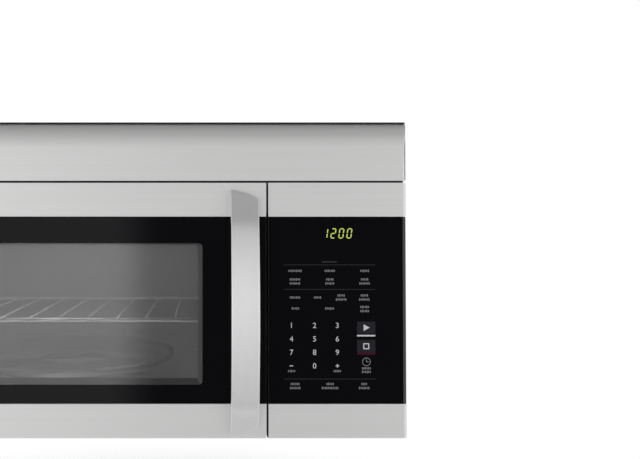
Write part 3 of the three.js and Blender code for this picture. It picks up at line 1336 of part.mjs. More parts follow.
function doorFrame() {
  const body = join(steppedBody(LEFT, DOOR_RIGHT, FRAME_BACK, -1), doorSkirt());
  const margin = 12;
  const windowWay = alongY(
    rectangle(WINDOW_LEFT - margin, WINDOW_BOTTOM - margin, WINDOW_RIGHT + margin, WINDOW_TOP + margin, 6),
    FACE - 5,
    FRAME_BACK + 5,
  );
  const pocketSide = LATCH_THICK / 2 + 1;
  const pocket = block(
    LATCH_X - pocketSide,
    FACE + 9,
    LATCH_BOTTOM - 6,
    LATCH_X + pocketSide,
    DOOR_BACK + 1,
    LATCH_TOP + SPRING_LENGTH + 2 * (FIT + SPRING_WIRE),
  );
  const notch = hingeNotch();
  const pinR = HINGE_PIN_R + FIT;
  const lowHole = rod(pinR, LOWER_HINGE_Z, LOWER_HINGE_Z + HINGE_PIN_LENGTH + 5, 16);
  const highHole = rod(pinR, UPPER_HINGE_Z - HINGE_PIN_LENGTH - 3, DOOR_TOP + 1, 16);
  const holes = [lowHole, highHole].map((hole) => hole.translate(HINGE_X, HINGE_Y, 0));
  return cut(body, windowWay, pocket, notch, ...holes);
}

const LOWER_HINGE_Z = 2;
const UPPER_HINGE_Z = DOOR_TOP + (SEAM - HINGE_SHEET) / 2;

/** The corner of the door's foot that is left open for the lower hinge to turn in. */
const hingeNotch = () =>
  block(LEFT - 1, HINGE_Y - HINGE_EAR_R - 1.5, -1, LEFT + 38, FLANGE_FACE, LOWER_HINGE_Z + HINGE_SHEET + 1);

function doorTrim(z0, z1, fold) {
  return cut(trimStrip(LEFT, DOOR_RIGHT, z0, z1, -1, fold), hingeNotch());
}

function doorGlass() {
  const plan = rectangle(LEFT + CORNER + 2 * FIT, GLASS_BOTTOM, DOOR_RIGHT - GLASS_SIDE_GAP, GLASS_TOP, 1);
  return alongY(plan, FACE + FIT / 2, FACE + GLASS_THICK);
}

/** The pressed inner panel with its choke channel and the land round the window. */
function doorChoke() {
  const { x0, x1, z0, z1 } = chokeLimits();
  const front = FRAME_BACK + FIT;
  const inset = CHOKE_CHANNEL + CHOKE_SHEET;
  const landBack = DOOR_BACK - LAND_SINK;
  const windowHole = opening(WINDOW_LEFT, WINDOW_BOTTOM, WINDOW_RIGHT, WINDOW_TOP, WINDOW_CORNER);
  const skin = alongY(ringShape(x0, z0, x1, z1, inset + CHOKE_SHEET, 4), front, front + CHOKE_SHEET);
  const outerWall = alongY(ringShape(x0, z0, x1, z1, CHOKE_SHEET, 4), front, DOOR_BACK);
  const innerWall = alongY(
    ringShape(x0 + inset, z0 + inset, x1 - inset, z1 - inset, CHOKE_SHEET, 3),
    front,
    DOOR_BACK,
  );
  const land = pierced(rectangle(x0 + inset, z0 + inset, x1 - inset, z1 - inset, 3), windowHole);
  return join(skin, outerWall, innerWall, alongY(land, landBack - CHOKE_SHEET, landBack));
}

function chokeCover() {
  const { x0, x1, z0, z1 } = chokeLimits();
  const gap = CHOKE_SHEET + FIT;
  const plan = ringShape(x0 + gap, z0 + gap, x1 - gap, z1 - gap, CHOKE_CHANNEL - 2 * FIT, 3);
  return alongY(plan, DOOR_BACK - 2, DOOR_BACK - FIT);
}

function windowScreen() {
  const plan = rectangle(
    WINDOW_LEFT - LAND_WIDTH,
    WINDOW_BOTTOM - LAND_WIDTH,
    WINDOW_RIGHT + LAND_WIDTH,
    WINDOW_TOP + LAND_WIDTH,
    3,
  );
  const back = DOOR_BACK - LAND_SINK - CHOKE_SHEET - FIT;
  return alongY(plan, back - SCREEN_SHEET, back);
}

function innerGlass() {
  const { x0, x1, z0, z1 } = chokeLimits();
  const inset = CHOKE_CHANNEL + 2 * CHOKE_SHEET + FIT;
  const plan = rectangle(x0 + inset, z0 + inset, x1 - inset, z1 - inset, 3);
  const front = DOOR_BACK - LAND_SINK + FIT;
  return alongY(plan, front, front + INNER_GLASS);
}

/** The handle: a flat bar bowed away from the door, its ends cut on the slant. */
function handle() {
  const x1 = DOOR_RIGHT - HANDLE_RIGHT_IN;
  const x0 = x1 - HANDLE_WIDTH;
  const low = HANDLE_BOTTOM;
  const high = HANDLE_BOTTOM + HANDLE_LENGTH;
  const middle = (low + high) / 2;
  const seat = FACE - FIT;
  const out = (stand) => FACE - stand;
  const front = new THREE.CatmullRomCurve3(
    [
      [HANDLE_RISE, low],
      [(HANDLE_RISE + HANDLE_KNEE) / 2, low + HANDLE_RAMP / 2],
      [HANDLE_KNEE, low + HANDLE_RAMP],
      [HANDLE_STAND, middle],
      [HANDLE_KNEE, high - HANDLE_RAMP],
      [(HANDLE_RISE + HANDLE_KNEE) / 2, high - HANDLE_RAMP / 2],
      [HANDLE_RISE, high],
    ].map(([stand, z]) => new THREE.Vector3(out(stand), z, 0)),
    false,
    "centripetal",
  );
  const section = new THREE.Shape();
  section.moveTo(seat, low);
  front.getPoints(18).forEach((p) => section.lineTo(p.x, p.y));
  section.lineTo(seat, high).lineTo(seat, high - HANDLE_FOOT);
  const inner = out(HANDLE_STAND - HANDLE_THICK);
  const shoulder = out(HANDLE_KNEE - HANDLE_THICK + 3);
  section.lineTo(shoulder, high - HANDLE_RAMP - 3);
  section.quadraticCurveTo(inner, middle + HANDLE_LENGTH / 5, inner, middle);
  section.quadraticCurveTo(inner, middle - HANDLE_LENGTH / 5, shoulder, low + HANDLE_RAMP + 3);
  section.lineTo(seat, low + HANDLE_FOOT).lineTo(seat, low);
  const bar = alongX(section, x0, x1, 8, HANDLE_BEVEL);
  const outline = new THREE.Shape();
  const [across, up] = HANDLE_BEND;
  outline.moveTo(x0, high).lineTo(x0, low);
  outline.quadraticCurveTo(x0 + across, low + up, x1, low + HANDLE_SLANT);
  outline.lineTo(x1, high - HANDLE_SLANT);
  outline.quadraticCurveTo(x0 + across, high - up, x0, high);
  return common(bar, alongY(outline, FACE - HANDLE_STAND - 10, FACE + 5, 8));
}

/** The double hook that holds the door shut, sliding up and down inside the door's right stile. */
function latchHooks() {
  const y0 = FACE + 11;
  const y1 = FRAME_BACK - 2;
  const profile = new THREE.Shape();
  const tip = DOOR_BACK + HOOK_REACH;
  profile.moveTo(y0, LATCH_BOTTOM - 4);
  profile.lineTo(y1, LATCH_BOTTOM - 4).lineTo(y1, LATCH_BOTTOM + 2).lineTo(tip - 9, LATCH_BOTTOM + 2);
  profile.lineTo(tip - 9, LATCH_BOTTOM - HOOK_NOSE).lineTo(tip - 3, LATCH_BOTTOM - HOOK_NOSE);
  profile.lineTo(tip, LATCH_BOTTOM + 4).lineTo(tip - 4, LATCH_BOTTOM + HOOK_HEIGHT);
  profile.lineTo(y1, LATCH_BOTTOM + HOOK_HEIGHT);
  const upper = LATCH_TOP - HOOK_HEIGHT;
  profile.lineTo(y1, upper + 2).lineTo(tip - 9, upper + 2).lineTo(tip - 9, upper - HOOK_NOSE);
  profile.lineTo(tip - 3, upper - HOOK_NOSE).lineTo(tip, upper + 4).lineTo(tip - 4, LATCH_TOP);
  profile.lineTo(y0, LATCH_TOP).lineTo(y0, LATCH_BOTTOM - 4);
  return alongX(profile, LATCH_X - LATCH_THICK / 2, LATCH_X + LATCH_THICK / 2);
}

/** The coil spring above the hooks: one unbroken wire, its ends cut square. */
function latchSpring() {
  const perTurn = 8;
  const radius = LATCH_THICK / 2 - SPRING_WIRE;
  const steps = SPRING_TURNS * perTurn;
  const points = Array.from({ length: steps + 1 }, (_, i) => {
    const angle = (2 * Math.PI * i) / perTurn;
    const z = LATCH_TOP + FIT + SPRING_WIRE + (SPRING_LENGTH * i) / steps;
    return new THREE.Vector3(LATCH_X + radius * Math.cos(angle), FACE + 15 + radius * Math.sin(angle), z);
  });
  const section = circle(0, 0, SPRING_WIRE);
  const extrudePath = new THREE.CatmullRomCurve3(points);
  return new THREE.ExtrudeGeometry(section, { steps, extrudePath, bevelEnabled: false, curveSegments: 2.5 });
}

/** A hinge plate with its riveted pin; pinDown is true for the upper one. */
function hinge(z, pinDown) {
  const tabTop = z + HINGE_SHEET;
  const arm = new THREE.Shape();
  const half = HINGE_EAR_R;
  const back = FLANGE_FACE - FIT;
  arm.moveTo(HINGE_X - half, HINGE_Y).absarc(HINGE_X, HINGE_Y, half, Math.PI, 2 * Math.PI);
  arm.lineTo(HINGE_X + HINGE_TAB_WIDTH, back).lineTo(HINGE_X - half + HINGE_TAPER, back);
  arm.lineTo(HINGE_X - half, HINGE_Y);
  const plate = alongZ(arm, z, tabTop, 5);
  const pinEnds = pinDown ? [z - HINGE_PIN_LENGTH, z + 0.5] : [tabTop - 0.5, tabTop + HINGE_PIN_LENGTH];
  const pin = rod(HINGE_PIN_R, ...pinEnds, 16).translate(HINGE_X, HINGE_Y, 0);
  return join(plate, pin);
}

/** The upright tab that screws a hinge to the cabinet's front. */
const hingeTab = (z0, z1) =>
  block(
    HINGE_X - HINGE_EAR_R + HINGE_TAPER,
    FLANGE_FACE - FIT - HINGE_SHEET,
    z0,
    HINGE_X + HINGE_TAB_WIDTH,
    FLANGE_FACE - FIT,
    z1,
  );

function buildDoor(door) {
  piece(door, "door_frame", doorFrame(), BLACK_PLASTIC);
  piece(door, "door_top_trim", doorTrim(DOOR_TOP - TOP_TRIM, DOOR_TOP, 1), STAINLESS);
  piece(door, "door_bottom_trim", doorTrim(0, BOTTOM_TRIM, -1), STAINLESS);
  piece(door, "door_glass", doorGlass(), BLACK_GLASS);
  piece(door, "door_choke", doorChoke(), CAVITY_PAINT);
  piece(door, "choke_cover", chokeCover(), BLACK_PLASTIC);
  piece(door, "window_screen", windowScreen(), BLACK_PLASTIC);
  piece(door, "inner_glass", innerGlass(), CLEAR_GLASS);
  piece(door, "handle", handle(), POLISHED);
  piece(door, "latch_hooks", latchHooks(), GREY_PLASTIC);
  piece(door, "latch_spring", latchSpring(), GALVANISED);
}

function buildHinges(cabinet) {
  const low = join(hinge(LOWER_HINGE_Z, false), hingeTab(LOWER_HINGE_Z, LOWER_HINGE_Z + HINGE_TAB));
  const high = join(hinge(UPPER_HINGE_Z, true), hingeTab(UPPER_HINGE_Z - HINGE_TAB, UPPER_HINGE_Z + HINGE_SHEET));
  piece(cabinet, "lower_hinge", low, GALVANISED);
  piece(cabinet, "upper_hinge", high, GALVANISED);
}

// ---------- latch board ----------
/** The moulded board behind the flange that the hooks drop into, open at each hook. */
function latchBoard() {
  const x0 = LATCH_X - LATCH_THICK / 2 - HOOK_GAP - 5;
  const x1 = LATCH_X + LATCH_THICK / 2 + HOOK_GAP + 5;
  const y0 = WALL_FRONT;
  const y1 = DOOR_BACK + HOOK_REACH + 9;
  const body = block(x0, y0, LATCH_BOTTOM - 22, x1, y1, LATCH_TOP + 22);
  const ways = [LATCH_BOTTOM, LATCH_TOP - HOOK_HEIGHT].map((z) =>
    block(
      LATCH_X - LATCH_THICK / 2 - HOOK_GAP,
      y0 - 2,
      z - HOOK_NOSE - HOOK_GAP,
      LATCH_X + LATCH_THICK / 2 + HOOK_GAP,
      y1 - 6,
      z + HOOK_HEIGHT + LATCH_TRAVEL + HOOK_GAP,
    ),
  );
  const middle = block(x0 - 1, y0 + 6, LATCH_BOTTOM + 34, x1 - 5, y1 + 1, LATCH_TOP - 44);
  return cut(body, middle, ...ways);
}

function interlockSwitch() {
  const body = alongX(rectangle(0, 0, 26, 16, 1), 0, 9);
  const lever = alongX(
    new THREE.Shape([
      new THREE.Vector2(2, -0.5),
      new THREE.Vector2(24, -3),
      new THREE.Vector2(24, -2),
      new THREE.Vector2(2, 0.5),
    ]),
    2.5,
    6.5,
  );
  const pins = [4, 12, 20].map((y) => block(3, y, 15, 6, y + 1, 22));
  return join(body, lever, ...pins);
}

function buildLatchBoard(cabinet) {
  piece(cabinet, "latch_board", latchBoard(), GREY_PLASTIC);
  const x = LATCH_X + LATCH_THICK / 2 + HOOK_GAP + 5 + FIT;
  const heights = { interlock_switch_upper: LATCH_TOP - 26, interlock_switch_lower: LATCH_BOTTOM + 6 };
  for (const [name, z] of Object.entries(heights)) {
    piece(cabinet, name, interlockSwitch(), BLACK_PLASTIC).position.set(x, WALL_FRONT + 6, z);
  }
}

// ---------- assembly ----------
const microwave = new THREE.Group();
microwave.position.z = -HEIGHT / 2;
const cabinet = new THREE.Group();
const door = new THREE.Group();
microwave.add(cabinet, door);
buildCasing(cabinet);
buildCavity(cabinet);
buildTurntable(cabinet);
buildVent(cabinet);
buildBlower(cabinet);
buildDuct(cabinet);
buildBay(cabinet);
buildControls(cabinet);
buildLatchBoard(cabinet);
buildHinges(cabinet);
buildDoor(door);

export default microwave;
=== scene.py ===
"""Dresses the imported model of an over-the-range microwave and lights it for a product picture."""

from __future__ import annotations

import json
import logging
import math
from collections.abc import Iterable, Sequence
from dataclasses import dataclass
from enum import Enum
from functools import cache

import bmesh
import bpy
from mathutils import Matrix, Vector
from mathutils.geometry import tessellate_polygon

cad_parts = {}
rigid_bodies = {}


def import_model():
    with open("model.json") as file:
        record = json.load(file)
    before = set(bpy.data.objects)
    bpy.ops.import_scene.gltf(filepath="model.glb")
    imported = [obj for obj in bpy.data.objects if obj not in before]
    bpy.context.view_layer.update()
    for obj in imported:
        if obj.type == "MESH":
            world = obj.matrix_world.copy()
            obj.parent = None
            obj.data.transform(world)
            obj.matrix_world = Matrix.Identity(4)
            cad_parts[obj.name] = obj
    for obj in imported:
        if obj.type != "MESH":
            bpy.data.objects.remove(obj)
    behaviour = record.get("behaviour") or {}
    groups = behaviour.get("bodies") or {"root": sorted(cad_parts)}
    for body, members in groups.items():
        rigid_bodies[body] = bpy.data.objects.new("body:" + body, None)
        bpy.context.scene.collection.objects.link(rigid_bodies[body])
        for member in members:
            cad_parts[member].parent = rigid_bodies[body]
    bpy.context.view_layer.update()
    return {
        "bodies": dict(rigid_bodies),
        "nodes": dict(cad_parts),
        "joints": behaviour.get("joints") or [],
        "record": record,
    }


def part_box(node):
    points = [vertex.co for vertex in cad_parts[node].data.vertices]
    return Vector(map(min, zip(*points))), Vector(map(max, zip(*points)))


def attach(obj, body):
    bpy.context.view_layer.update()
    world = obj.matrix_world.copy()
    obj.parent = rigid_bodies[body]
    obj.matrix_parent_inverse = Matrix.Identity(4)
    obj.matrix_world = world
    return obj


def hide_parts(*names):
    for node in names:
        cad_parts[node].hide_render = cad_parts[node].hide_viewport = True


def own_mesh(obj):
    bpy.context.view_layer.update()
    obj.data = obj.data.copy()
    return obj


log = logging.getLogger("microwave")

MM = 0.001
UNDERSIDE = 208.75  # the frame's origin above the underside, mm
PROUD = 0.12  # how far a printed mark stands out of its surface, mm
SAME = 1e-7  # drawn corners nearer than this are one, m
WELD = 1e-6  # points nearer than this are joined, m
SHARP = math.radians(32)  # edges that turn further stay sharp
BEVELLED = math.radians(35)  # edges that turn further are rounded
LEVEL = math.radians(0.4)  # faces that turn less become one before the rounding
WHITE = (1.0, 1.0, 1.0)

Flat = tuple[float, float]
Triple = tuple[float, float, float]
Rect = tuple[float, float, float, float]
Colour = Triple


class Axis(Enum):
    """The direction in which a flat outline is drawn out."""

    X = "x"
    Y = "y"
    Z = "z"

    def place(self, u: float, v: float, along: float) -> Vector:
        """A point of an outline that is drawn out.

        Args:
            u, v: the point in the outline's own plane.
            along: its distance along the axis.

        Returns:
            The point.
        """
        return {
            Axis.X: Vector((along, u, v)),
            Axis.Y: Vector((u, along, v)),
            Axis.Z: Vector((u, v, along)),
        }[self]


# ---------- outlines, all in millimetres ----------
def arc(cx: float, cy: float, r: float, a0: float, a1: float, steps: int) -> list[Flat]:
    """Points on an arc.

    Args:
        cx, cy: the centre.
        r: the radius.
        a0, a1: first and last angle, in degrees.
        steps: how many chords it has.

    Returns:
        The points from a0 to a1, both included.
    """
    turn = [math.radians(a0 + (a1 - a0) * i / steps) for i in range(steps + 1)]
    return [(cx + r * math.cos(a), cy + r * math.sin(a)) for a in turn]


def rounded(x0: float, y0: float, x1: float, y1: float, r: float, steps: int = 6) -> list[Flat]:
    """A rectangle with round corners, counter-clockwise.

    Args:
        x0, y0, x1, y1: its lowest and highest corner.
        r: the corners' radius.
        steps: chords in each corner.

    Returns:
        The outline's points.
    """
    corners = [(x1 - r, y0 + r, -90), (x1 - r, y1 - r, 0), (x0 + r, y1 - r, 90), (x0 + r, y0 + r, 180)]
    return [p for cx, cy, a in corners for p in arc(cx, cy, r, a, a + 90, steps)]


def spread(count: int, low: float, high: float) -> list[float]:
    """Evenly spaced values, both ends included."""
    return [low + (high - low) * i / (count - 1) for i in range(count)]


def round_about(count: int, start: float = 0.0) -> list[Flat]:
    """Unit steps (across, up) evenly round a circle, the first at a share of one step."""
    return [(math.cos(a), math.sin(a)) for a in (2 * math.pi * (k + start) / count for k in range(count))]


def quadratic(p0: Flat, p1: Flat, p2: Flat, steps: int) -> list[Flat]:
    """Points on a quadratic curve.

    Args:
        p0, p1, p2: its start, the point that it leans on, and its end.
        steps: how many chords it has.

    Returns:
        The points, both ends included.
    """
    out = []
    for i in range(steps + 1):
        t = i / steps
        a, b, c = (1 - t) ** 2, 2 * t * (1 - t), t * t
        out.append((a * p0[0] + b * p1[0] + c * p2[0], a * p0[1] + b * p1[1] + c * p2[1]))
    return out


def between(points: Sequence[Flat], at: float) -> float:
    """Reads a line of points whose second values rise.

    Args:
        points: the line.
        at: a second value.

    Returns:
        The first value there, or the nearer end's beyond the line.
    """
    for (u0, v0), (u1, v1) in zip(points, points[1:]):
        if v0 <= at <= v1:
            return u0 if v1 == v0 else u0 + (u1 - u0) * (at - v0) / (v1 - v0)
    return points[0][0] if at < points[0][1] else points[-1][0]


def blended(p: Vector, q: Vector, low: float, high: float, at: float) -> Vector:
    """The point at a time on the line from p, passed at low, to q, passed at high."""
    return p * ((high - at) / (high - low)) + q * ((at - low) / (high - low))


def flowing(points: Sequence[Flat], steps: int) -> list[Flat]:
    """A smooth curve through points, as a centripetal spline.

    Args:
        points: the points that it passes.
        steps: chords between two of them.

    Returns:
        The curve's points.
    """
    first, last = Vector(points[0]), Vector(points[-1])
    ends = [2 * first - Vector(points[1]), *map(Vector, points), 2 * last - Vector(points[-2])]
    out = [tuple(points[0])]
    for p0, p1, p2, p3 in zip(ends, ends[1:], ends[2:], ends[3:]):
        t1 = (p1 - p0).length ** 0.5
        t2 = t1 + (p2 - p1).length ** 0.5
        t3 = t2 + (p3 - p2).length ** 0.5
        for i in range(1, steps + 1):
            t = t1 + (t2 - t1) * i / steps
            a1, a2, a3 = blended(p0, p1, 0.0, t1, t), blended(p1, p2, t1, t2, t), blended(p2, p3, t2, t3, t)
            b1, b2 = blended(a1, a2, 0.0, t2, t), blended(a2, a3, t1, t3, t)
            out.append(tuple(blended(b1, b2, t1, t2, t)))
    return out


# ---------- meshes ----------
class Shape:
    """A mesh drawn in millimetres: X across, Y out from the wall, Z up from the underside."""

    def __init__(self) -> None:
        """Starts with nothing drawn."""
        self.points: list[Vector] = []
        self.faces: list[tuple[int, ...]] = []

    def add(self, points: Iterable[Vector], faces: Iterable[Sequence[int]]) -> Shape:
        """Adds a closed body.

        Args:
            points: its corners.
            faces: its faces, which count from its own first point.

        Returns:
            This shape.
        """
        start = len(self.points)
        self.points += [Vector(p) for p in points]
        self.faces += [tuple(start + i for i in f) for f in faces]
        return self

    def prism(
        self,
        outline: Sequence[Flat],
        low: float,
        high: float,
        axis: Axis,
        holes: Sequence[Sequence[Flat]] = (),
    ) -> Shape:
        """Draws an outline out along an axis.

        Args:
            outline: the outer outline.
            low, high: where the body starts and ends along the axis.
            axis: the axis.
            holes: outlines of openings in it.

        Returns:
            This shape.
        """
        loops = [list(outline), *(list(h) for h in holes)]
        flat = [p for loop in loops for p in loop]
        caps = tessellate_polygon([[Vector((u, v, 0)) for u, v in loop] for loop in loops])
        count = len(flat)
        points = [axis.place(u, v, w) for w in (low, high) for u, v in flat]
        faces: list[Sequence[int]] = [tuple(c) for c in caps]
        faces += [tuple(i + count for i in reversed(c)) for c in caps]
        start = 0
        for loop in loops:
            n = len(loop)
            for i in range(n):
                a, b = start + i, start + (i + 1) % n
                faces.append((a, b, b + count, a + count))
            start += n
        return self.add(points, faces)

    def box(self, x0: float, y0: float, z0: float, x1: float, y1: float, z1: float) -> Shape:
        """A plain block between two corners, as one body of a larger shape."""
        return self.prism([(x0, y0), (x1, y0), (x1, y1), (x0, y1)], z0, z1, Axis.Z)

    def loft(self, rings: Sequence[Sequence[Vector]], closed: bool = False) -> Shape:
        """Joins rings of equally many points into a body.

        Args:
            rings: the rings in order.
            closed: whether the last ring joins the first; otherwise both ends are capped.

        Returns:
            This shape.
        """
        n = len(rings[0])
        faces: list[Sequence[int]] = []
        spans = len(rings) if closed else len(rings) - 1
        for k in range(spans):
            a, b = k * n, (k + 1) % len(rings) * n
            faces += [(a + i, a + (i + 1) % n, b + (i + 1) % n, b + i) for i in range(n)]
        if not closed:
            faces += [tuple(reversed(range(n))), tuple((len(rings) - 1) * n + i for i in range(n))]
        return self.add([p for ring in rings for p in ring], faces)

    def tube(self, path: Sequence[Vector], radius: float, sides: int = 10, closed: bool = False) -> Shape:
        """A round rod along a path.

        Args:
            path: the points of its centreline.
            radius: the rod's radius.
            sides: how many faces go round it.
            closed: whether the path joins up with itself.

        Returns:
            This shape.
        """
        rings = []
        count = len(path)
        for i, here in enumerate(path):
            before = path[i - 1] if closed or i else here
            after = path[(i + 1) % count] if closed or i < count - 1 else here
            ahead = (Vector(after) - Vector(before)).normalized()
            up = Vector((0, 0, 1)) if abs(ahead.z) < 0.9 else Vector((1, 0, 0))
            side = ahead.cross(up).normalized()
            other = side.cross(ahead)
            rings.append([Vector(here) + radius * (u * side + v * other) for u, v in round_about(sides, 0.5)])
        return self.loft(rings, closed)

    def turned(self, profile: Sequence[Flat], cx: float, cy: float, steps: int) -> Shape:
        """A body turned round an upright line.

        Args:
            profile: its half section as (radius, height), a closed outline clear of the line.
            cx, cy: where the line stands.
            steps: how many faces go round.

        Returns:
            This shape.
        """
        rings = [[Vector((cx + r * u, cy + r * v, z)) for r, z in profile] for u, v in round_about(steps)]
        return self.loft(rings, closed=True)

    def mesh(self, name: str) -> bpy.types.Mesh:
        """The drawn bodies as a Blender mesh in the model's frame, in metres.

        Args:
            name: the mesh's name.

        Returns:
            The mesh.
        """
        mesh = bpy.data.meshes.new(name)
        moved = [(p.x * MM, p.y * MM, (p.z - UNDERSIDE) * MM) for p in self.points]
        mesh.from_pydata(moved, [], self.faces)
        whole = bmesh.new()
        whole.from_mesh(mesh)
        bmesh.ops.remove_doubles(whole, verts=whole.verts, dist=SAME)
        bmesh.ops.recalc_face_normals(whole, faces=whole.faces)
        whole.to_mesh(mesh)
        whole.free()
        return mesh


# ---------- shader maths ----------
class Value:
    """A node's output that takes part in Python arithmetic; each operation adds a Math node."""

    def __init__(self, shader: Shader, socket: bpy.types.NodeSocket) -> None:
        """Keeps the tree that the output belongs to."""
        self.shader = shader
        self.socket = socket

    def math(self, operation: str, *values: Value | float) -> Value:
        """A Math node on these values."""
        return self.shader.node("ShaderNodeMath", {"operation": operation}, dict(enumerate(values)))

    def __add__(self, other: Value | float) -> Value:
        """This plus other."""
        return self.math("ADD", self, other)

    __radd__ = __add__

    def __sub__(self, other: Value | float) -> Value:
        """This less other."""
        return self.math("SUBTRACT", self, other)

    def __rsub__(self, other: float) -> Value:
        """A number less this."""
        return self.math("SUBTRACT", other, self)

    def __mul__(self, other: Value | float) -> Value:
        """This times other."""
        return self.math("MULTIPLY", self, other)

    __rmul__ = __mul__

    def __truediv__(self, other: Value | float) -> Value:
        """This over other."""
        return self.math("DIVIDE", self, other)

    def power(self, exponent: float) -> Value:
        """This to a power."""
        return self.math("POWER", self, exponent)

    def fraction(self) -> Value:
        """What is left after the whole part."""
        return self.math("FRACT", self)

    def whole(self) -> Value:
        """The whole part."""
        return self.math("FLOOR", self)

    def size(self) -> Value:
        """This without its sign."""
        return self.math("ABSOLUTE", self)

    def larger(self, other: Value | float) -> Value:
        """The larger of this and other."""
        return self.math("MAXIMUM", self, other)

    def over(self, limit: float) -> Value:
        """1 where this is above a limit, and 0 elsewhere."""
        return self.math("GREATER_THAN", self, limit)

    def rises(self, low: float, high: float) -> Value:
        """0 below low and 1 above high, with a smooth step between."""
        values = {"Value": self, "From Min": low, "From Max": high}
        return self.shader.node("ShaderNodeMapRange", {"interpolation_type": "SMOOTHSTEP"}, values)


def scaled(values: Triple, share: float) -> Triple:
    """Three numbers, such as a colour, at a share of their size."""
    return tuple(v * share for v in values)


class Shader:
    """A node tree under construction."""

    def __init__(self, owner: bpy.types.Material | bpy.types.World, end: str) -> None:
        """Clears the owner's tree and adds its output node.

        Args:
            owner: the material or world that has the tree.
            end: the type of its output node.
        """
        owner.use_nodes = True
        self.tree = owner.node_tree
        self.tree.nodes.clear()
        self.end = self.tree.nodes.new(end)

    def node(
        self, kind: str, settings: dict | None = None, values: dict | None = None, output: int | str = 0
    ) -> Value:
        """Adds a node.

        Args:
            kind: its type.
            settings: its properties, which are set first.
            values: numbers, colours or links for its sockets, by name or number.
            output: which of its outputs is wanted.

        Returns:
            That output.
        """
        made = self.tree.nodes.new(kind)
        for key, setting in (settings or {}).items():
            setattr(made, key, setting)
        for key, value in (values or {}).items():
            self.feed(made.inputs[key], value)
        return Value(self, made.outputs[output])

    def feed(self, socket: bpy.types.NodeSocket, value: Value | float | Sequence[float]) -> None:
        """Links or sets one socket.

        Args:
            socket: the socket.
            value: a link, a number, or the parts of a colour or vector.
        """
        if isinstance(value, Value):
            self.tree.links.new(value.socket, socket)
        elif isinstance(value, (int, float)):
            socket.default_value = value
        else:
            wanted = len(socket.default_value)
            socket.default_value = (*value, 1.0) if len(value) < wanted else tuple(value)

    def place(self) -> Value:
        """The point in the model's frame, in metres."""
        return self.node("ShaderNodeTexCoord", output="Object")

    def split(self, vector: Value) -> tuple[Value, Value, Value]:
        """A vector's three parts.

        Args:
            vector: the vector.

        Returns:
            Its X, Y and Z.
        """
        first = self.node("ShaderNodeSeparateXYZ", values={0: vector})
        made = first.socket.node
        return first, Value(self, made.outputs[1]), Value(self, made.outputs[2])

    def joined(self, x: Value | float, y: Value | float, z: Value | float) -> Value:
        """Three parts as a vector."""
        return self.node("ShaderNodeCombineXYZ", values={0: x, 1: y, 2: z})

    def stretched(self, scale: Triple) -> Value:
        """The point in the model's frame, scaled by axis."""
        values = {0: self.place(), 1: scale}
        return self.node("ShaderNodeVectorMath", {"operation": "MULTIPLY"}, values)

    def noise(self, vector: Value, scale: float, detail: float = 2.0) -> Value:
        """Cloudy noise about 0.5."""
        return self.node("ShaderNodeTexNoise", values={"Vector": vector, "Scale": scale, "Detail": detail})

    def wiped(self) -> Value:
        """The long faint marks that a cloth leaves on glass."""
        return self.noise(self.stretched((3.0, 3.0, 14.0)), 6.0, 4.0)

    def blend(self, factor: Value, first: Colour | Value, second: Colour | Value) -> Value:
        """A colour between two."""
        return self.node("ShaderNodeMix", {"data_type": "RGBA"}, {0: factor, 6: first, 7: second}, 2)

    def bump(self, height: Value, strength: float, depth: float) -> Value:
        """A normal that follows a height, at most depth metres deep."""
        return self.node("ShaderNodeBump", values={"Strength": strength, "Distance": depth, "Height": height})

    def clouded(self, share: Value, colour: Colour, dark: float) -> Value:
        """A colour that darkens to a share of itself where the first value is 0."""
        return self.blend(share, scaled(colour, dark), colour)

    def finish(self, surface: Value) -> None:
        """Links what is shown to the output node."""
        self.tree.links.new(surface.socket, self.end.inputs["Surface"])


# ---------- finishes ----------
@dataclass(frozen=True)
class Finish:
    """A finish with a name and the record's slot that it belongs to."""

    name: str
    slot: str

    def sockets(self, shader: Shader) -> dict:
        """The values of a Principled shader's sockets; each finish has its own."""
        raise NotImplementedError

    def surface(self, shader: Shader) -> Value:
        """What is shown."""
        return shader.node("ShaderNodeBsdfPrincipled", values=self.sockets(shader))

    @cache
    def material(self) -> bpy.types.Material:
        """The finish as a material, made once.

        Returns:
            The material.
        """
        made = bpy.data.materials.new(self.name)
        shader = Shader(made, "ShaderNodeOutputMaterial")
        shader.finish(self.surface(shader))
        return made


@dataclass(frozen=True)
class BrushedSteel(Finish):
    """Stainless sheet with a fine grain in one direction."""

    colour: Colour = (0.573, 0.573, 0.570)
    roughness: float = 0.47
    grain: Triple = (14.0, 1500.0, 1500.0)
    streaks: float = 0.025
    coarser: float = 0.16

    def sockets(self, shader: Shader) -> dict:
        """Grain in the gloss and the surface, and faint longer streaks in the colour.

        Args:
            shader: the tree that they go into.

        Returns:
            The values of the Principled shader's sockets.
        """
        fine = shader.noise(shader.stretched(self.grain), 1.0, 3.0)
        coarse = shader.noise(shader.stretched(scaled(self.grain, self.coarser)), 1.0, 2.0)
        return {
            "Base Color": shader.clouded(coarse.rises(0.3, 0.7), self.colour, 1 - self.streaks),
            "Metallic": 1.0,
            "Roughness": self.roughness + 0.09 * (fine - 0.5),
            "Normal": shader.bump(fine, 0.07, 0.00003),
        }


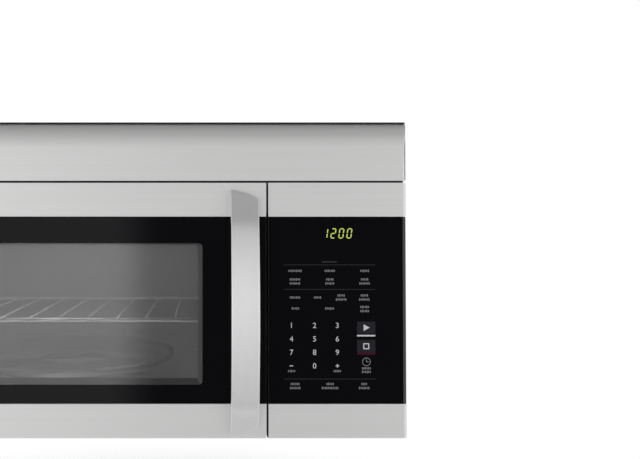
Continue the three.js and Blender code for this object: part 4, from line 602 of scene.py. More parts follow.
@dataclass(frozen=True)
class Sheet(Finish):
    """Bare or plated sheet and castings, with clouds in colour and gloss."""

    colour: Colour = (0.55, 0.57, 0.58)
    dark: float = 0.82
    roughness: float = 0.42
    scale: float = 90.0
    metallic: float = 1.0
    spangle: bool = False

    def sockets(self, shader: Shader) -> dict:
        """Zinc flakes or soft clouds.

        Args:
            shader: the tree that they go into.

        Returns:
            The values of the Principled shader's sockets.
        """
        place = shader.place()
        if self.spangle:
            cells = {"Vector": place, "Scale": self.scale}
            patch = shader.split(shader.node("ShaderNodeTexVoronoi", values=cells, output="Color"))[0]
        else:
            patch = shader.noise(place, self.scale, 3.0).rises(0.3, 0.7)
        fine = shader.noise(place, self.scale * 9, 2.0)
        return {
            "Base Color": shader.clouded(patch, self.colour, self.dark),
            "Metallic": self.metallic,
            "Roughness": self.roughness + 0.1 * (patch - 0.5) + 0.05 * (fine - 0.5),
            "Normal": shader.bump(fine, 0.1, 0.00005),
        }


@dataclass(frozen=True)
class Paint(Finish):
    """Powder coat, enamel or moulded plastic, with its orange peel or grain."""

    colour: Colour = (0.05, 0.05, 0.05)
    roughness: float = 0.5
    peel: float = 900.0
    depth: float = 0.00004
    mottle: float = 0.12
    gloss: float = 0.5

    def sockets(self, shader: Shader) -> dict:
        """Fine relief all over, and a slow change of shade.

        Args:
            shader: the tree that they go into.

        Returns:
            The values of the Principled shader's sockets.
        """
        place = shader.place()
        relief = shader.noise(place, self.peel, 2.0)
        cloud = shader.noise(place, 14.0, 3.0)
        return {
            "Base Color": shader.clouded(cloud.rises(0.3, 0.7), self.colour, 1 - self.mottle),
            "Roughness": self.roughness + 0.1 * (cloud - 0.5) + 0.06 * (relief - 0.5),
            "Specular IOR Level": self.gloss,
            "Normal": shader.bump(relief, 0.3, self.depth),
        }


@dataclass(frozen=True)
class PrintedGlass(Finish):
    """Glass printed black on its back, polished in front."""

    colour: Colour = (0.0013, 0.0012, 0.0021)
    roughness: float = 0.05
    gloss: float = 0.1

    def sockets(self, shader: Shader) -> dict:
        """A deep black with faint wipe marks in the gloss.

        Args:
            shader: the tree that they go into.

        Returns:
            The values of the Principled shader's sockets.
        """
        wiped = shader.wiped()
        cloud = shader.noise(shader.place(), 9.0, 2.0)
        return {
            "Base Color": shader.clouded(cloud.rises(0.35, 0.65), self.colour, 0.75),
            "Roughness": self.roughness + 0.03 * wiped,
            "Specular IOR Level": self.gloss,
        }


@dataclass(frozen=True)
class ClearPane(Finish):
    """A thin clear pane: what is behind it, with a mirror that grows towards its edge on."""

    tint: Colour = (0.948, 0.944, 0.947)
    mirror: float = 0.9

    def sockets(self, shader: Shader) -> dict:
        """The mirror's."""
        return {"Base Color": (0.9, 0.9, 0.9), "Metallic": 1.0, "Roughness": 0.03 + 0.03 * shader.wiped()}

    def surface(self, shader: Shader) -> Value:
        """Transparent and mirror, mixed by the angle.

        Args:
            shader: the tree that they go into.

        Returns:
            What is shown.
        """
        through = shader.node("ShaderNodeBsdfTransparent", values={"Color": self.tint})
        mirror = super().surface(shader)
        share = shader.node("ShaderNodeFresnel", values={"IOR": 1.45}) * self.mirror
        return shader.node("ShaderNodeMixShader", values={0: share, 1: through, 2: mirror})


@dataclass(frozen=True)
class SolidGlass(Finish):
    """Thick moulded glass."""

    colour: Colour = (0.93, 0.95, 0.94)
    roughness: float = 0.02

    def sockets(self, shader: Shader) -> dict:
        """Clear, with the slight waves of a pressing.

        Args:
            shader: the tree that they go into.

        Returns:
            The values of the Principled shader's sockets.
        """
        wave = shader.noise(shader.place(), 40.0, 2.0)
        return {
            "Base Color": self.colour,
            "Roughness": self.roughness + 0.03 * wave,
            "IOR": 1.47,
            "Transmission Weight": 0.96,
            "Normal": shader.bump(wave, 0.15, 0.0002),
        }


@dataclass(frozen=True)
class Perforated(Finish):
    """Painted sheet with staggered round holes, which a film behind it dims."""

    colour: Colour = (0.12, 0.12, 0.122)
    pitch: float = 0.0023
    row: float = 0.866  # from row to row, as a share of the pitch
    hole: float = 0.45
    soft: float = 0.06
    film: float = 0.24
    web: float = 0.9

    def sockets(self, shader: Shader) -> dict:
        """Holes in the alpha, in rows that step by half a pitch.

        Args:
            shader: the tree that they go into.

        Returns:
            The values of the Principled shader's sockets.
        """
        x, _, z = shader.split(shader.place())
        row = z / (self.pitch * self.row)
        odd = (row.whole() * 0.5).fraction()
        u = (x / self.pitch + odd).fraction() - 0.5
        v = (row.fraction() - 0.5) * self.row
        far = (u * u + v * v).power(0.5)
        sheet = far.rises(self.hole - self.soft, self.hole + self.soft) * (self.web - self.film) + self.film
        relief = shader.noise(shader.place(), 700.0, 2.0)
        return {
            "Base Color": shader.clouded(relief, self.colour, 0.85),
            "Roughness": 0.45 + 0.1 * (relief - 0.5),
            "Alpha": sheet,
        }


@dataclass(frozen=True)
class Ink(Finish):
    """Screen-printed ink."""

    colour: Colour = (0.5, 0.5, 0.5)
    specular: float = 0.3

    def sockets(self, shader: Shader) -> dict:
        """A matt film with the grain of the print screen.

        Args:
            shader: the tree that they go into.

        Returns:
            The values of the Principled shader's sockets.
        """
        grain = shader.noise(shader.place(), 1800.0, 1.0)
        return {
            "Base Color": shader.clouded(grain.rises(0.2, 0.8), self.colour, 0.86),
            "Roughness": 0.55 + 0.1 * (grain - 0.5),
            "Specular IOR Level": self.specular,
        }


@dataclass(frozen=True)
class Glow(Finish):
    """A lit display segment."""

    colour: Colour = (0.62, 0.75, 0.10)
    strength: float = 0.9

    def sockets(self, shader: Shader) -> dict:
        """Light that is a little stronger in some spots.

        Args:
            shader: the tree that they go into.

        Returns:
            The values of the Principled shader's sockets.
        """
        spots = shader.noise(shader.place(), 900.0, 1.0)
        return {
            "Base Color": (0.02, 0.03, 0.01),
            "Emission Color": shader.clouded(spots.rises(0.2, 0.8), self.colour, 0.85),
            "Emission Strength": self.strength,
            "Roughness": 0.3,
        }


@dataclass(frozen=True)
class Wound(Finish):
    """Varnished copper windings round a laminated steel core."""

    copper: Colour = (0.62, 0.33, 0.16)
    steel: Colour = (0.20, 0.20, 0.21)
    low: float = -0.1423
    high: float = -0.0963
    core: Flat = (-0.1876, -0.1344)
    wires: float = 900.0  # turns in a metre
    sheets: float = 1600.0  # sheets of the core in a metre
    core_edge: float = 0.0005
    coil_edge: float = 0.002

    def sockets(self, shader: Shader) -> dict:
        """Turns of wire round the core, and sheets of steel elsewhere.

        Args:
            shader: the tree that they go into.

        Returns:
            The values of the Principled shader's sockets.
        """
        x, y, z = shader.split(shader.place())
        turns = (z * self.wires).fraction()
        sheets = (x * self.sheets).fraction()
        back, front = self.core
        core = y.rises(back, back + self.core_edge) * (1 - y.rises(front - self.core_edge, front))
        low, high, soft = self.low, self.high, self.coil_edge
        wound = z.rises(low, low + soft) * (1 - z.rises(high - soft, high)) * (1 - core)
        relief = turns * wound + sheets * (1 - wound)
        return {
            "Base Color": shader.blend(wound, self.steel, self.copper),
            "Metallic": 0.85,
            "Roughness": 0.5 - 0.18 * wound,
            "Normal": shader.bump(relief, 0.4, 0.0003),
        }


@dataclass(frozen=True)
class Granules(Finish):
    """A bed of carbon granules."""

    colour: Colour = (0.03, 0.03, 0.03)
    grains: float = 330.0  # in a metre

    def sockets(self, shader: Shader) -> dict:
        """Grains about 3 mm across.

        Args:
            shader: the tree that they go into.

        Returns:
            The values of the Principled shader's sockets.
        """
        cells = {"Vector": shader.place(), "Scale": self.grains}
        grain = shader.node("ShaderNodeTexVoronoi", values=cells, output="Distance")
        return {
            "Base Color": shader.blend(grain, scaled(self.colour, 2.4), scaled(self.colour, 0.4)),
            "Roughness": 0.75 + 0.1 * grain,
            "Normal": shader.bump(1 - grain, 1.0, 0.002),
        }


@dataclass(frozen=True)
class Circuit(Finish):
    """A green board with copper tracks under its lacquer."""

    colour: Colour = (0.02, 0.13, 0.05)
    track: Colour = (0.08, 0.30, 0.12)
    lanes: float = 400.0  # in a metre

    def sockets(self, shader: Shader) -> dict:
        """Straight tracks with pads.

        Args:
            shader: the tree that they go into.

        Returns:
            The values of the Principled shader's sockets.
        """
        x, _, z = shader.split(shader.place())
        lane = ((x * self.lanes).fraction() - 0.5).size()
        run = shader.noise(shader.stretched((self.lanes, 1.0, 30.0)), 1.0, 0.0).over(0.5)
        mask = run * (1 - lane.over(0.22))
        speck = shader.noise(shader.joined(x, 0.0, z), 500.0, 1.0)
        return {
            "Base Color": shader.blend(mask, self.colour, self.track),
            "Roughness": 0.3 + 0.1 * speck,
            "Normal": shader.bump(mask, 0.5, 0.0001),
        }


@dataclass(frozen=True)
class Studio(Finish):
    """The pale studio floor, which fades into the white room."""

    colour: Colour = (0.8, 0.8, 0.8)
    near: float = 0.38
    far: float = 0.9
    centre: float = 0.2  # its middle, this far in front of the wall

    def sockets(self, shader: Shader) -> dict:
        """Matt, with a faint grain."""
        grain = shader.noise(shader.place(), 60.0, 2.0)
        return {"Base Color": shader.clouded(grain, self.colour, 0.985), "Roughness": 0.9}

    def surface(self, shader: Shader) -> Value:
        """Matt near the object with its shadow, and open to the white room further out and from below.

        Args:
            shader: the tree that they go into.

        Returns:
            What is shown.
        """
        x, y, _ = shader.split(shader.place())
        away = (x * x + (y + self.centre) * (y + self.centre)).power(0.5)
        floor = super().surface(shader)
        clear = shader.node("ShaderNodeBsdfTransparent", values={"Color": WHITE})
        below = shader.node("ShaderNodeNewGeometry", output="Backfacing")
        glossy = shader.node("ShaderNodeLightPath", output="Is Glossy Ray")
        open_share = away.rises(self.near, self.far).larger(below).larger(glossy)
        return shader.node("ShaderNodeMixShader", values={0: open_share, 1: floor, 2: clear})


STEEL = BrushedSteel("brushed_steel", "stainless")
POLISHED = BrushedSteel("satin_steel", "polished", (0.703, 0.703, 0.703), 0.447, (900.0, 900.0, 12.0), 0.02)
BLACK_GLASS = PrintedGlass("printed_glass", "black_glass")
PANE = ClearPane("clear_pane", "clear_glass")
TRAY_GLASS = SolidGlass("tray_glass", "clear_glass")
LENS = SolidGlass("lens_plastic", "clear_glass", (0.9, 0.91, 0.9), 0.28)
BLACK_PLASTIC = Paint("moulded_black", "black_plastic", (0.009, 0.009, 0.01), 0.5, 1400.0, gloss=0.18)
HOUSING = Paint("housing_plastic", "black_plastic", (0.03, 0.03, 0.031), 0.5, 1400.0, gloss=0.3)
GREY_PLASTIC = Paint("moulded_grey", "grey_plastic", (0.5, 0.51, 0.52), 0.45, 1200.0, 0.00003, 0.06)
CASE_PAINT = Paint("powder_coat", "case_paint", (0.035, 0.036, 0.038), 0.48, 1000.0, 0.00006)
ENAMEL = Paint("cavity_enamel", "cavity_paint", (0.64, 0.635, 0.625), 0.38, 500.0, 0.00004, 0.05)
BEZEL = Paint("bezel_plastic", "black_plastic", (0.13, 0.13, 0.132), 0.42, 900.0)
# painted shade: a darker plastic for the plate on the window bezel's foot, which stands in for the shadow
# there
PAINTED_SHADE_PLATE = Paint("painted_shade_plastic", "black_plastic", (0.034, 0.034, 0.035), 0.5, 900.0)
SCREEN = Perforated("window_screen_paint", "screen_paint")
ZINC = Sheet("zinc_sheet", "galvanised", (0.53, 0.55, 0.56), 0.87, 0.42, 120.0, spangle=True)
ALUMINIUM = Sheet("dull_aluminium", "aluminium", (0.7, 0.71, 0.72), 0.9, 0.4, 120.0)
NICKEL = Sheet("rack_nickel", "chrome", (0.95, 0.95, 0.95), 0.95, 0.3, 60.0, 0.1)
SPRING = Sheet("spring_wire", "spring_steel", (0.6, 0.6, 0.6), 0.85, 0.3, 300.0)
WINDINGS = Wound("windings", "copper")
MICA = Paint("mica_sheet", "mica", (0.62, 0.54, 0.38), 0.55, 300.0, 0.0001, 0.3)
CARBON = Granules("carbon_bed", "carbon")
BOARD = Circuit("circuit_board", "board_green")
WHITE_INK = Ink("white_ink", "black_plastic", (0.44, 0.445, 0.46))
GREY_INK = Ink("grey_ink", "black_plastic", (0.14, 0.145, 0.155))
FAINT_INK = Ink("faint_ink", "black_plastic", (0.006, 0.007, 0.0075))
PAD_INK = Ink("pad_ink", "black_plastic", (0.010, 0.0095, 0.0135), 0.12)
RED_INK = Ink("red_ink", "black_plastic", (0.031, 0.0006, 0.0072), 0.12)
DIGITS = Glow("lit_segments", "black_plastic")


# ---------- the bench: pieces on bodies ----------
def linked(name: str, data: bpy.types.ID, place: Sequence[float] = (0, 0, 0)) -> bpy.types.Object:
    """Puts a new object in the scene.

    Args:
        name: its name.
        data: its mesh, lamp, camera or curve.
        place: where it stands, in metres.

    Returns:
        The object.
    """
    made = bpy.data.objects.new(name, data)
    made.location = place
    bpy.context.scene.collection.objects.link(made)
    return made


@cache
def smoothed_edges() -> bpy.types.NodeTree:
    """A geometry group that shades a mesh smooth but for its sharp edges.

    Returns:
        The group, made once.
    """
    group = bpy.data.node_groups.new("smooth_but_edges", "GeometryNodeTree")
    for way in ("INPUT", "OUTPUT"):
        group.interface.new_socket("Geometry", in_out=way, socket_type="NodeSocketGeometry")
    smooth = "GeometryNodeSetShadeSmooth"
    kinds = ("NodeGroupInput", "GeometryNodeRemoveAttribute", smooth, smooth, "NodeGroupOutput")
    chain = [group.nodes.new(kind) for kind in kinds]
    for node, following in zip(chain, chain[1:]):
        group.links.new(node.outputs[0], following.inputs[0])
    _, bare, faces, edges, _ = chain
    bare.inputs["Name"].default_value = "custom_normal"
    faces.domain, edges.domain = "FACE", "EDGE"
    angle, flat = group.nodes.new("GeometryNodeInputMeshEdgeAngle"), group.nodes.new("ShaderNodeMath")
    flat.operation = "LESS_THAN"
    flat.inputs[1].default_value = SHARP
    group.links.new(angle.outputs[0], flat.inputs[0])
    group.links.new(flat.outputs[0], edges.inputs["Shade Smooth"])
    return group


def fitted(piece: bpy.types.Object, name: str, kind: str, **settings: object) -> None:
    """Puts a modifier on a piece.

    Args:
        piece: the piece.
        name: the modifier's name.
        kind: its kind.
        settings: its settings by name.
    """
    modifier = piece.modifiers.new(name, kind)
    for key, setting in settings.items():
        setattr(modifier, key, setting)


@dataclass
class Bench:
    """Where shapes become dressed pieces that ride on the model's bodies."""

    frame: dict

    def edges(self, piece: bpy.types.Object, width: float) -> None:
        """Rounds a piece's edges and shades it.

        Args:
            piece: the piece.
            width: the rounding in millimetres, or 0 for none.
        """
        fitted(piece, "weld", "WELD", merge_threshold=WELD)
        if width > 0:
            fitted(piece, "flat_faces", "DECIMATE", decimate_type="DISSOLVE", angle_limit=LEVEL)
            rounding = {
                "width": width * MM,
                "segments": 2,
                "limit_method": "ANGLE",
                "angle_limit": BEVELLED,
                "use_clamp_overlap": True,
            }
            fitted(piece, "edge", "BEVEL", **rounding)
        fitted(piece, "shade", "NODES", node_group=smoothed_edges())
        if width > 0:
            fitted(piece, "even", "WEIGHTED_NORMAL", keep_sharp=True)

    def piece(
        self, name: str, shape: Shape, finish: Finish, body: str, *replaced: str, edge: float = 0.0
    ) -> bpy.types.Object:
        """Makes a piece.

        Args:
            name: its name.
            shape: what was drawn.
            finish: its finish.
            body: the body that it rides on.
            replaced: model nodes that it stands for.
            edge: how far its edges are rounded, mm.

        Returns:
            The new object.
        """
        mesh = shape.mesh(name)
        mesh.materials.append(finish.material())
        made = linked(name, mesh)
        self.edges(made, edge)
        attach(made, body)
        if replaced:
            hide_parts(*replaced)
        log.info("piece %s on %s", name, body)
        return made

    def dress(self, finish: Finish, *names: str, edge: float = 0.0) -> None:
        """Gives model nodes a finish.

        Args:
            finish: the finish.
            names: the nodes.
            edge: how far their edges are rounded, mm.
        """
        for name in names:
            node = self.frame["nodes"][name]
            node.data.materials.clear()
            node.data.materials.append(finish.material())
            self.edges(node, edge)
            log.info("dressed %s", name)


def limits(node: str) -> tuple[Vector, Vector]:
    """A model node's lowest and highest corner in the millimetres that shapes are drawn in.

    Args:
        node: its name.

    Returns:
        Both corners.
    """
    low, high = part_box(node)
    lift = Vector((0, 0, UNDERSIDE))
    return low / MM + lift, high / MM + lift


# ---------- sub-assemblies ----------
@dataclass
class Handle:
    """The bowed flat bar on the door."""

    left: float = 146.4
    right: float = 182.9
    low: float = 6.0
    high: float = 327.6
    face: float = -395.0
    seat: float = -395.4
    slant: float = 12.5
    bend: Flat = (25.0, 4.0)
    foot: float = 36.0
    edge: float = 1.5
    edge_at_tip: float = 0.4
    edge_gain: float = 0.06
    fullest: float = 0.45  # the most that a corner's radius takes of the bar's width or depth
    close: tuple[float, ...] = (  # sections near each end, by their distance from it
        0.02, 0.4, 0.9, 1.6, 2.6, 3.8, 5.2, 6.8, 8.6, 10.6, 13, 16, 20, 25, 30, 35.9, 36.2, 40, 45, 50, 53,
    )
    middle: tuple[int, float] = (55, 56)  # how many others, and how far from each end they start
    bow_steps: int = 24
    end_steps: int = 14
    front: tuple[Flat, ...] = ((9, 0), (18, 25), (27, 50), (42, 160.8), (27, 271.6), (18, 296.6), (9, 321.6))
    behind: tuple[Flat, ...] = ((19, 53), (31, 96.8), (31, 160.8), (31, 224.8), (19, 268.6))

    def right_edge(self) -> list[Flat]:
        """The bar's right side, curved in at both ends.

        Returns:
            Its points as (x, height), upwards.
        """
        x, low, high, cut = self.right, self.low, self.high, self.slant
        lean, up = self.left + self.bend[0], self.bend[1]
        foot = quadratic((self.left + 1, low), (lean, low + up), (x, low + cut), self.end_steps)
        head = quadratic((x, high - cut), (lean, high - up), (self.left + 1, high), self.end_steps)
        return foot + head

    def back(self, height: float) -> float:
        """The back face's Y at a height above the bar's foot.

        Args:
            height: that height.

        Returns:
            The Y.
        """
        low, rise, middle, fall, high = self.behind
        if low[1] <= height <= high[1]:
            steps = self.bow_steps // 2
            hollow = quadratic(low, rise, middle, steps) + quadratic(middle, fall, high, steps)
            return self.face - between(hollow, height)
        near = min(height, self.high - self.low - height) - self.foot
        if near <= -0.01:
            return self.seat
        return self.seat + (self.face - low[0] - self.seat) * near / (low[1] - self.foot)

    def ring(self, height: float, sides: list[Flat], bow: list[Flat]) -> list[Vector]:
        """The bar's section at a height above its foot, with its corners rounded.

        Args:
            height: that height.
            sides: the bar's right side as (x, height).
            bow: its front as (distance out, height).

        Returns:
            The section's points.
        """
        z = self.low + height
        x1 = between(sides, z)
        y0, y1 = self.face - between(bow, height), self.back(height)
        soft = self.edge_at_tip + self.edge_gain * min(height, self.high - self.low - height)
        r = min(self.edge, soft, (x1 - self.left) * self.fullest, (y1 - y0) * self.fullest)
        return [Vector((x, y, z)) for x, y in rounded(self.left, y0, x1, y1, r, 4)]

    def build(self, bench: Bench) -> None:
        """Lofts the bar from sections close together at its ends and bends.

        Args:
            bench: where its pieces are made.
        """
        length = self.high - self.low
        sides = self.right_edge()
        bow = flowing(self.front, self.bow_steps)
        count, start = self.middle
        foot, head = self.close, [length - h for h in reversed(self.close)]
        heights = [*foot, *spread(count, start, length - start), *head]
        rings = [self.ring(h, sides, bow) for h in heights]
        bar = bench.piece("door_handle", Shape().loft(rings), POLISHED, "door", "handle")
        fitted(bar, "even", "WEIGHTED_NORMAL", keep_sharp=True)


@dataclass
class DoorFront:
    """The door's printed glass with its clear window, the bezel behind it and the screen."""

    window: Rect = (-301.0, 70.2, 109.0, 257.0)
    corner: float = 5.0
    bezel_width: float = 5.4
    bezel_head: float = 2.4
    bezel_foot: float = 7.4
    bezel_depth: float = 5.0
    bezel_lip: float = 4.0
    bezel_plate: float = 1.2
    shade_plate_inset: float = 1.5
    shade_plate_thickness: float = 0.25
    pane: float = 0.6
    pane_gap: float = 0.05

    def build(self, bench: Bench) -> None:
        """Makes the ring, the pane, the bezel and the screen.

        Args:
            bench: where its pieces are made.
        """
        low, high = limits("door_glass")
        x0, z0, x1, z1 = self.window
        hole = rounded(x0, z0, x1, z1, self.corner)
        outline = rounded(low.x, low.z, high.x, high.z, 0.8, 2)
        ring = Shape().prism(outline, low.y, high.y, Axis.Y, [hole])
        bench.piece("door_glass_print", ring, BLACK_GLASS, "door", "door_glass", edge=0.35)
        gap = self.pane_gap
        edge = rounded(x0 + gap, z0 + gap, x1 - gap, z1 - gap, self.corner)
        pane = Shape().prism(edge, low.y, low.y + self.pane, Axis.Y)
        bench.piece("door_window_pane", pane, PANE, "door")
        self.bezel(bench, high.y + 0.3)
        low, high = limits("window_screen")
        screen = Shape().prism(rounded(low.x, low.z, high.x, high.z, 3), low.y + 0.2, high.y, Axis.Y)
        bench.piece("door_window_screen", screen, SCREEN, "door", "window_screen")

    def bezel(self, bench: Bench, front: float) -> None:
        """A sloping frame round the window, behind the glass, with a darker sill at its foot, which is
        painted shade: the dark plate stands in for the shadow on the bezel's foot.

        Args:
            bench: where its pieces are made.
            front: the Y of its front.
        """
        x0, z0, x1, z1 = self.window
        d, out = self.bezel_depth, self.bezel_lip
        slope, back = front + d, front + d + self.bezel_plate
        rings = []
        for grow, y in ((out, front), (0.0, front), (-1.0, slope), (-1.0, back), (out, back)):
            inner = (-self.bezel_width, -self.bezel_foot, -self.bezel_head)
            side, foot, head = (grow, grow, grow) if grow >= 0 else inner
            outline = rounded(x0 - side, z0 - foot, x1 + side, z1 + head, max(self.corner + side, 3.5), 5)
            rings.append([Vector((x, y, z)) for x, z in outline])
        bench.piece("window_bezel", Shape().loft(rings, closed=True), BEZEL, "door")
        # the dark plate on the bezel's foot is painted shade, a stand-in for the shadow that falls there
        inset, foot = self.bezel_width + 0.5, z0 + 0.2
        near, far, head = front - 0.2, slope - 0.2, foot + self.bezel_foot
        low_edge = [(x0 + self.shade_plate_inset, near, foot), (x1 - self.shade_plate_inset, near, foot)]
        corners = [*low_edge, (x1 - inset, far, head), (x0 + inset, far, head)]
        rings = [[Vector((x, y + back, z)) for x, y, z in corners] for back in (0.0, self.shade_plate_thickness)]
        bench.piece("window_foot_painted_shade", Shape().loft(rings), PAINTED_SHADE_PLATE, "door")


class Segment(Enum):
    """The bars of a seven-bar digit: ends as shares of its width and height."""

    TOP = ((0, 1), (1, 1))
    HIGH_LEFT = ((0, 0.5), (0, 1))
    HIGH_RIGHT = ((1, 0.5), (1, 1))
    MIDDLE = ((0, 0.5), (1, 0.5))
    LOW_LEFT = ((0, 0), (0, 0.5))
    LOW_RIGHT = ((1, 0), (1, 0.5))
    FOOT = ((0, 0), (1, 0))


LIT = {
    "1": (Segment.HIGH_RIGHT, Segment.LOW_RIGHT),
    "2": (Segment.TOP, Segment.HIGH_RIGHT, Segment.MIDDLE, Segment.LOW_LEFT, Segment.FOOT),
    "0": tuple(s for s in Segment if s is not Segment.MIDDLE),
}


@dataclass
class Keypad:
    """The flush key panel: its display, printed numerals and plain marks."""

    columns: tuple[float, ...] = (226.8, 257.3, 287.4)
    rows: tuple[float, ...] = (148.4, 130.6, 113.0, 95.1)
    numeral: float = 7.3
    stroke: Flat = (4.6, 1.2)
    plus_arm: Triple = (1.475, 1.2, 1.65)
    rules: tuple[float, ...] = (228.3, 195.9, 77.8)
    rule_ends: Flat = (217.4, 337.8)
    short_rule: Rect = (267.0, 231.4, 287.5, 233.2)
    dash: Flat = (1.3, 0.75)
    dash_height: float = 2.7
    labels: tuple[Triple, ...] = (
        (231.5, 220.4, 18), (277.6, 220.4, 14), (323.7, 220.4, 10.6),
        (231.5, 209.1, 13), (231.5, 203.8, 14), (277.6, 209.1, 10), (277.6, 203.8, 10.6),
        (323.7, 209.1, 10), (323.7, 203.8, 14),
        (231.5, 185.2, 13), (261.3, 185.2, 9), (292.5, 187.9, 10), (292.5, 182.6, 14),
        (323.3, 187.9, 9), (323.3, 182.6, 14),
        (232.0, 170.7, 9.5), (277.3, 170.7, 11), (323.6, 172.7, 12), (323.6, 167.3, 10.6),
        (226.8, 88.2, 9), (287.2, 88.2, 10.5), (325.6, 91.8, 10.6), (325.6, 87.1, 11.5),
        (231.5, 71.2, 10.6), (231.5, 65.9, 14), (277.6, 71.2, 9), (277.6, 65.9, 22),
        (322.6, 71.2, 8), (322.6, 65.9, 12.6),
    )
    start_pad: Rect = (313.5, 137.5, 337.7, 153.4)
    start_bar: Rect = (313.5, 133.8, 337.7, 135.9)
    stop_pad: Rect = (313.5, 112.6, 337.7, 129.3)
    stop_bar: Rect = (313.5, 109.6, 337.7, 112.5)
    triangle: Triple = (3.4, 4.6, 4.4)
    square: tuple[Flat, Flat] = ((4.0, 0.8), (2.6, 0.4))
    timer: Triple = (325.8, 100.4, 5.6)
    dial_line: float = 0.9
    hands: tuple[Rect, Rect] = ((-0.45, -0.4, 0.45, 3.4), (0.5, -0.4, 3.0, 0.5))
    clock: str = "1200"
    clock_left: float = 268.4
    clock_foot: float = 263.9
    digit: Flat = (5.4, 12.2)
    digit_pitch: float = 10.6
    bar: float = 1.35
    lean: float = 0.14

    @property
    def face(self) -> float:
        """The panel's front face."""
        return limits("touch_panel")[0].y

    def slab(
        self, shape: Shape, outline: list[Flat], holes: Sequence[list[Flat]] = (), lift: float = 0
    ) -> None:
        """Adds a printed mark to a shape; lift sets it on another mark."""
        shape.prism(outline, self.face - PROUD * (1 + lift), self.face + 0.02, Axis.Y, holes)

    def block(self, shape: Shape, x: float, z: float, wide: float, tall: float) -> None:
        """Adds a small printed block, centred, with round corners."""
        self.slab(shape, rounded(x - wide / 2, z - tall / 2, x + wide / 2, z + tall / 2, 0.3, 3))

    def build(self, bench: Bench) -> None:
        """Dresses the panel and prints every mark on it.

        Args:
            bench: where its pieces are made.
        """
        bench.dress(BLACK_GLASS, "touch_panel", edge=0.35)
        self.numerals(bench)
        self.marks(bench)
        self.pads(bench)
        self.display(bench)

    def numerals(self, bench: Bench) -> None:
        """The ten numerals, with a minus and a plus beside the zero.

        Args:
            bench: where its pieces are made.
        """
        figures = Shape()
        for z, row in zip(self.rows, ("123", "456", "789", "-0+")):
            for x, sign in zip(self.columns, row):
                if sign.isdigit():
                    self.figure(figures, sign, x, z)
                else:
                    self.block(figures, x, z, *self.stroke)
                if sign == "+":
                    off, *arm = self.plus_arm
                    self.block(figures, x, z + off, *arm)
                    self.block(figures, x, z - off, *arm)
        bench.piece("key_numerals", figures, WHITE_INK, "cabinet")

    def figure(self, shape: Shape, sign: str, x: float, z: float) -> None:
        """Adds one numeral, centred, from the plain built-in typeface.

        Args:
            shape: what it is added to.
            sign: the numeral.
            x, z: its middle.
        """
        curve = bpy.data.curves.new("numeral", "FONT")
        curve.body, curve.align_x, curve.size, curve.offset = sign, "CENTER", self.numeral / 0.73, 0.03
        curve.resolution_u = 5
        holder = linked("numeral", curve)
        bpy.context.view_layer.update()
        mesh = bpy.data.meshes.new_from_object(holder.evaluated_get(bpy.context.evaluated_depsgraph_get()))
        points = [v.co.copy() for v in mesh.vertices]
        middle = (min(p.y for p in points) + max(p.y for p in points)) / 2
        front, count = self.face - PROUD, len(points)
        placed = [Vector((x + p.x, front + back, z + p.y - middle)) for back in (0.0, PROUD) for p in points]
        faces = [tuple(f.vertices) for f in mesh.polygons]
        rim = {tuple(e) for f in faces for e in zip(f, f[1:] + f[:1])}
        sides = [(a, b, b + count, a + count) for a, b in rim if (b, a) not in rim]
        shape.add(placed, faces + [tuple(i + count for i in reversed(f)) for f in faces] + sides)
        bpy.data.objects.remove(holder)
        bpy.data.curves.remove(curve)
        bpy.data.meshes.remove(mesh)

    def marks(self, bench: Bench) -> None:
        """Thin rules, and a row of short dashes where a key has a function.

        Args:
            bench: where its pieces are made.
        """
        lines, dashes = Shape(), Shape()
        for z in self.rules:
            self.slab(lines, rounded(self.rule_ends[0], z - 0.4, self.rule_ends[1], z + 0.4, 0.2, 2))
        self.slab(lines, rounded(*self.short_rule, 0.4, 2))
        block, gap = self.dash
        for x, z, width in self.labels:
            count = max(2, round((width + gap) / (block + gap)))
            start = x - (count * (block + gap) - gap) / 2
            for i in range(count):
                left = start + i * (block + gap)
                tall = self.dash_height * (0.5 if (i * 7 + round(z)) % 3 else 0.62)
                self.slab(dashes, rounded(left, z - tall, left + block, z + tall, 0.3, 2))
        bench.piece("key_rules", lines, FAINT_INK, "cabinet")
        bench.piece("key_dashes", dashes, GREY_INK, "cabinet")

    def pads(self, bench: Bench) -> None:
        """The start and stop pads with their coloured bars, and the round timer mark.

        Args:
            bench: where its pieces are made.
        """
        pads, white, red = Shape(), Shape(), Shape()
        for pad in (self.start_pad, self.stop_pad):
            self.slab(pads, rounded(*pad, 0.8, 3))
        self.slab(white, rounded(*self.start_bar, 0.6, 3))
        self.slab(red, rounded(*self.stop_bar, 0.6, 3))
        centres = [((x0 + x1) / 2, (z0 + z1) / 2) for x0, z0, x1, z1 in (self.start_pad, self.stop_pad)]
        (cx, cz), (sx, sz) = centres
        left, right, half = self.triangle
        self.slab(white, [(cx - left, cz - half), (cx + right, cz), (cx - left, cz + half)], lift=1)
        square, hole = (rounded(sx - r, sz - r, sx + r, sz + r, corner, 3) for r, corner in self.square)
        self.slab(white, square, [hole], lift=1)
        cx, cz, r = self.timer
        dial = Shape()
        rim, hole = (arc(cx, cz, far, 0, 345, 32)[:-1] for far in (r, r - self.dial_line))
        self.slab(dial, rim, [hole])
        for x0, z0, x1, z1 in self.hands:
            self.slab(dial, rounded(cx + x0, cz + z0, cx + x1, cz + z1, 0.3, 2))
        bench.piece("key_pads", pads, PAD_INK, "cabinet")
        bench.piece("key_start_and_marks", white, WHITE_INK, "cabinet")
        bench.piece("key_stop_bar", red, RED_INK, "cabinet")
        bench.piece("key_timer_mark", dial, GREY_INK, "cabinet")

    def display(self, bench: Bench) -> None:
        """The lit clock, in leaning seven-bar digits.

        Args:
            bench: where its pieces are made.
        """
        lit = Shape()
        left = self.clock_left
        for sign in self.clock:
            for segment in LIT[sign]:
                self.segment(lit, left, segment)
            left += self.digit_pitch
        bench.piece("display_digits", lit, DIGITS, "cabinet")

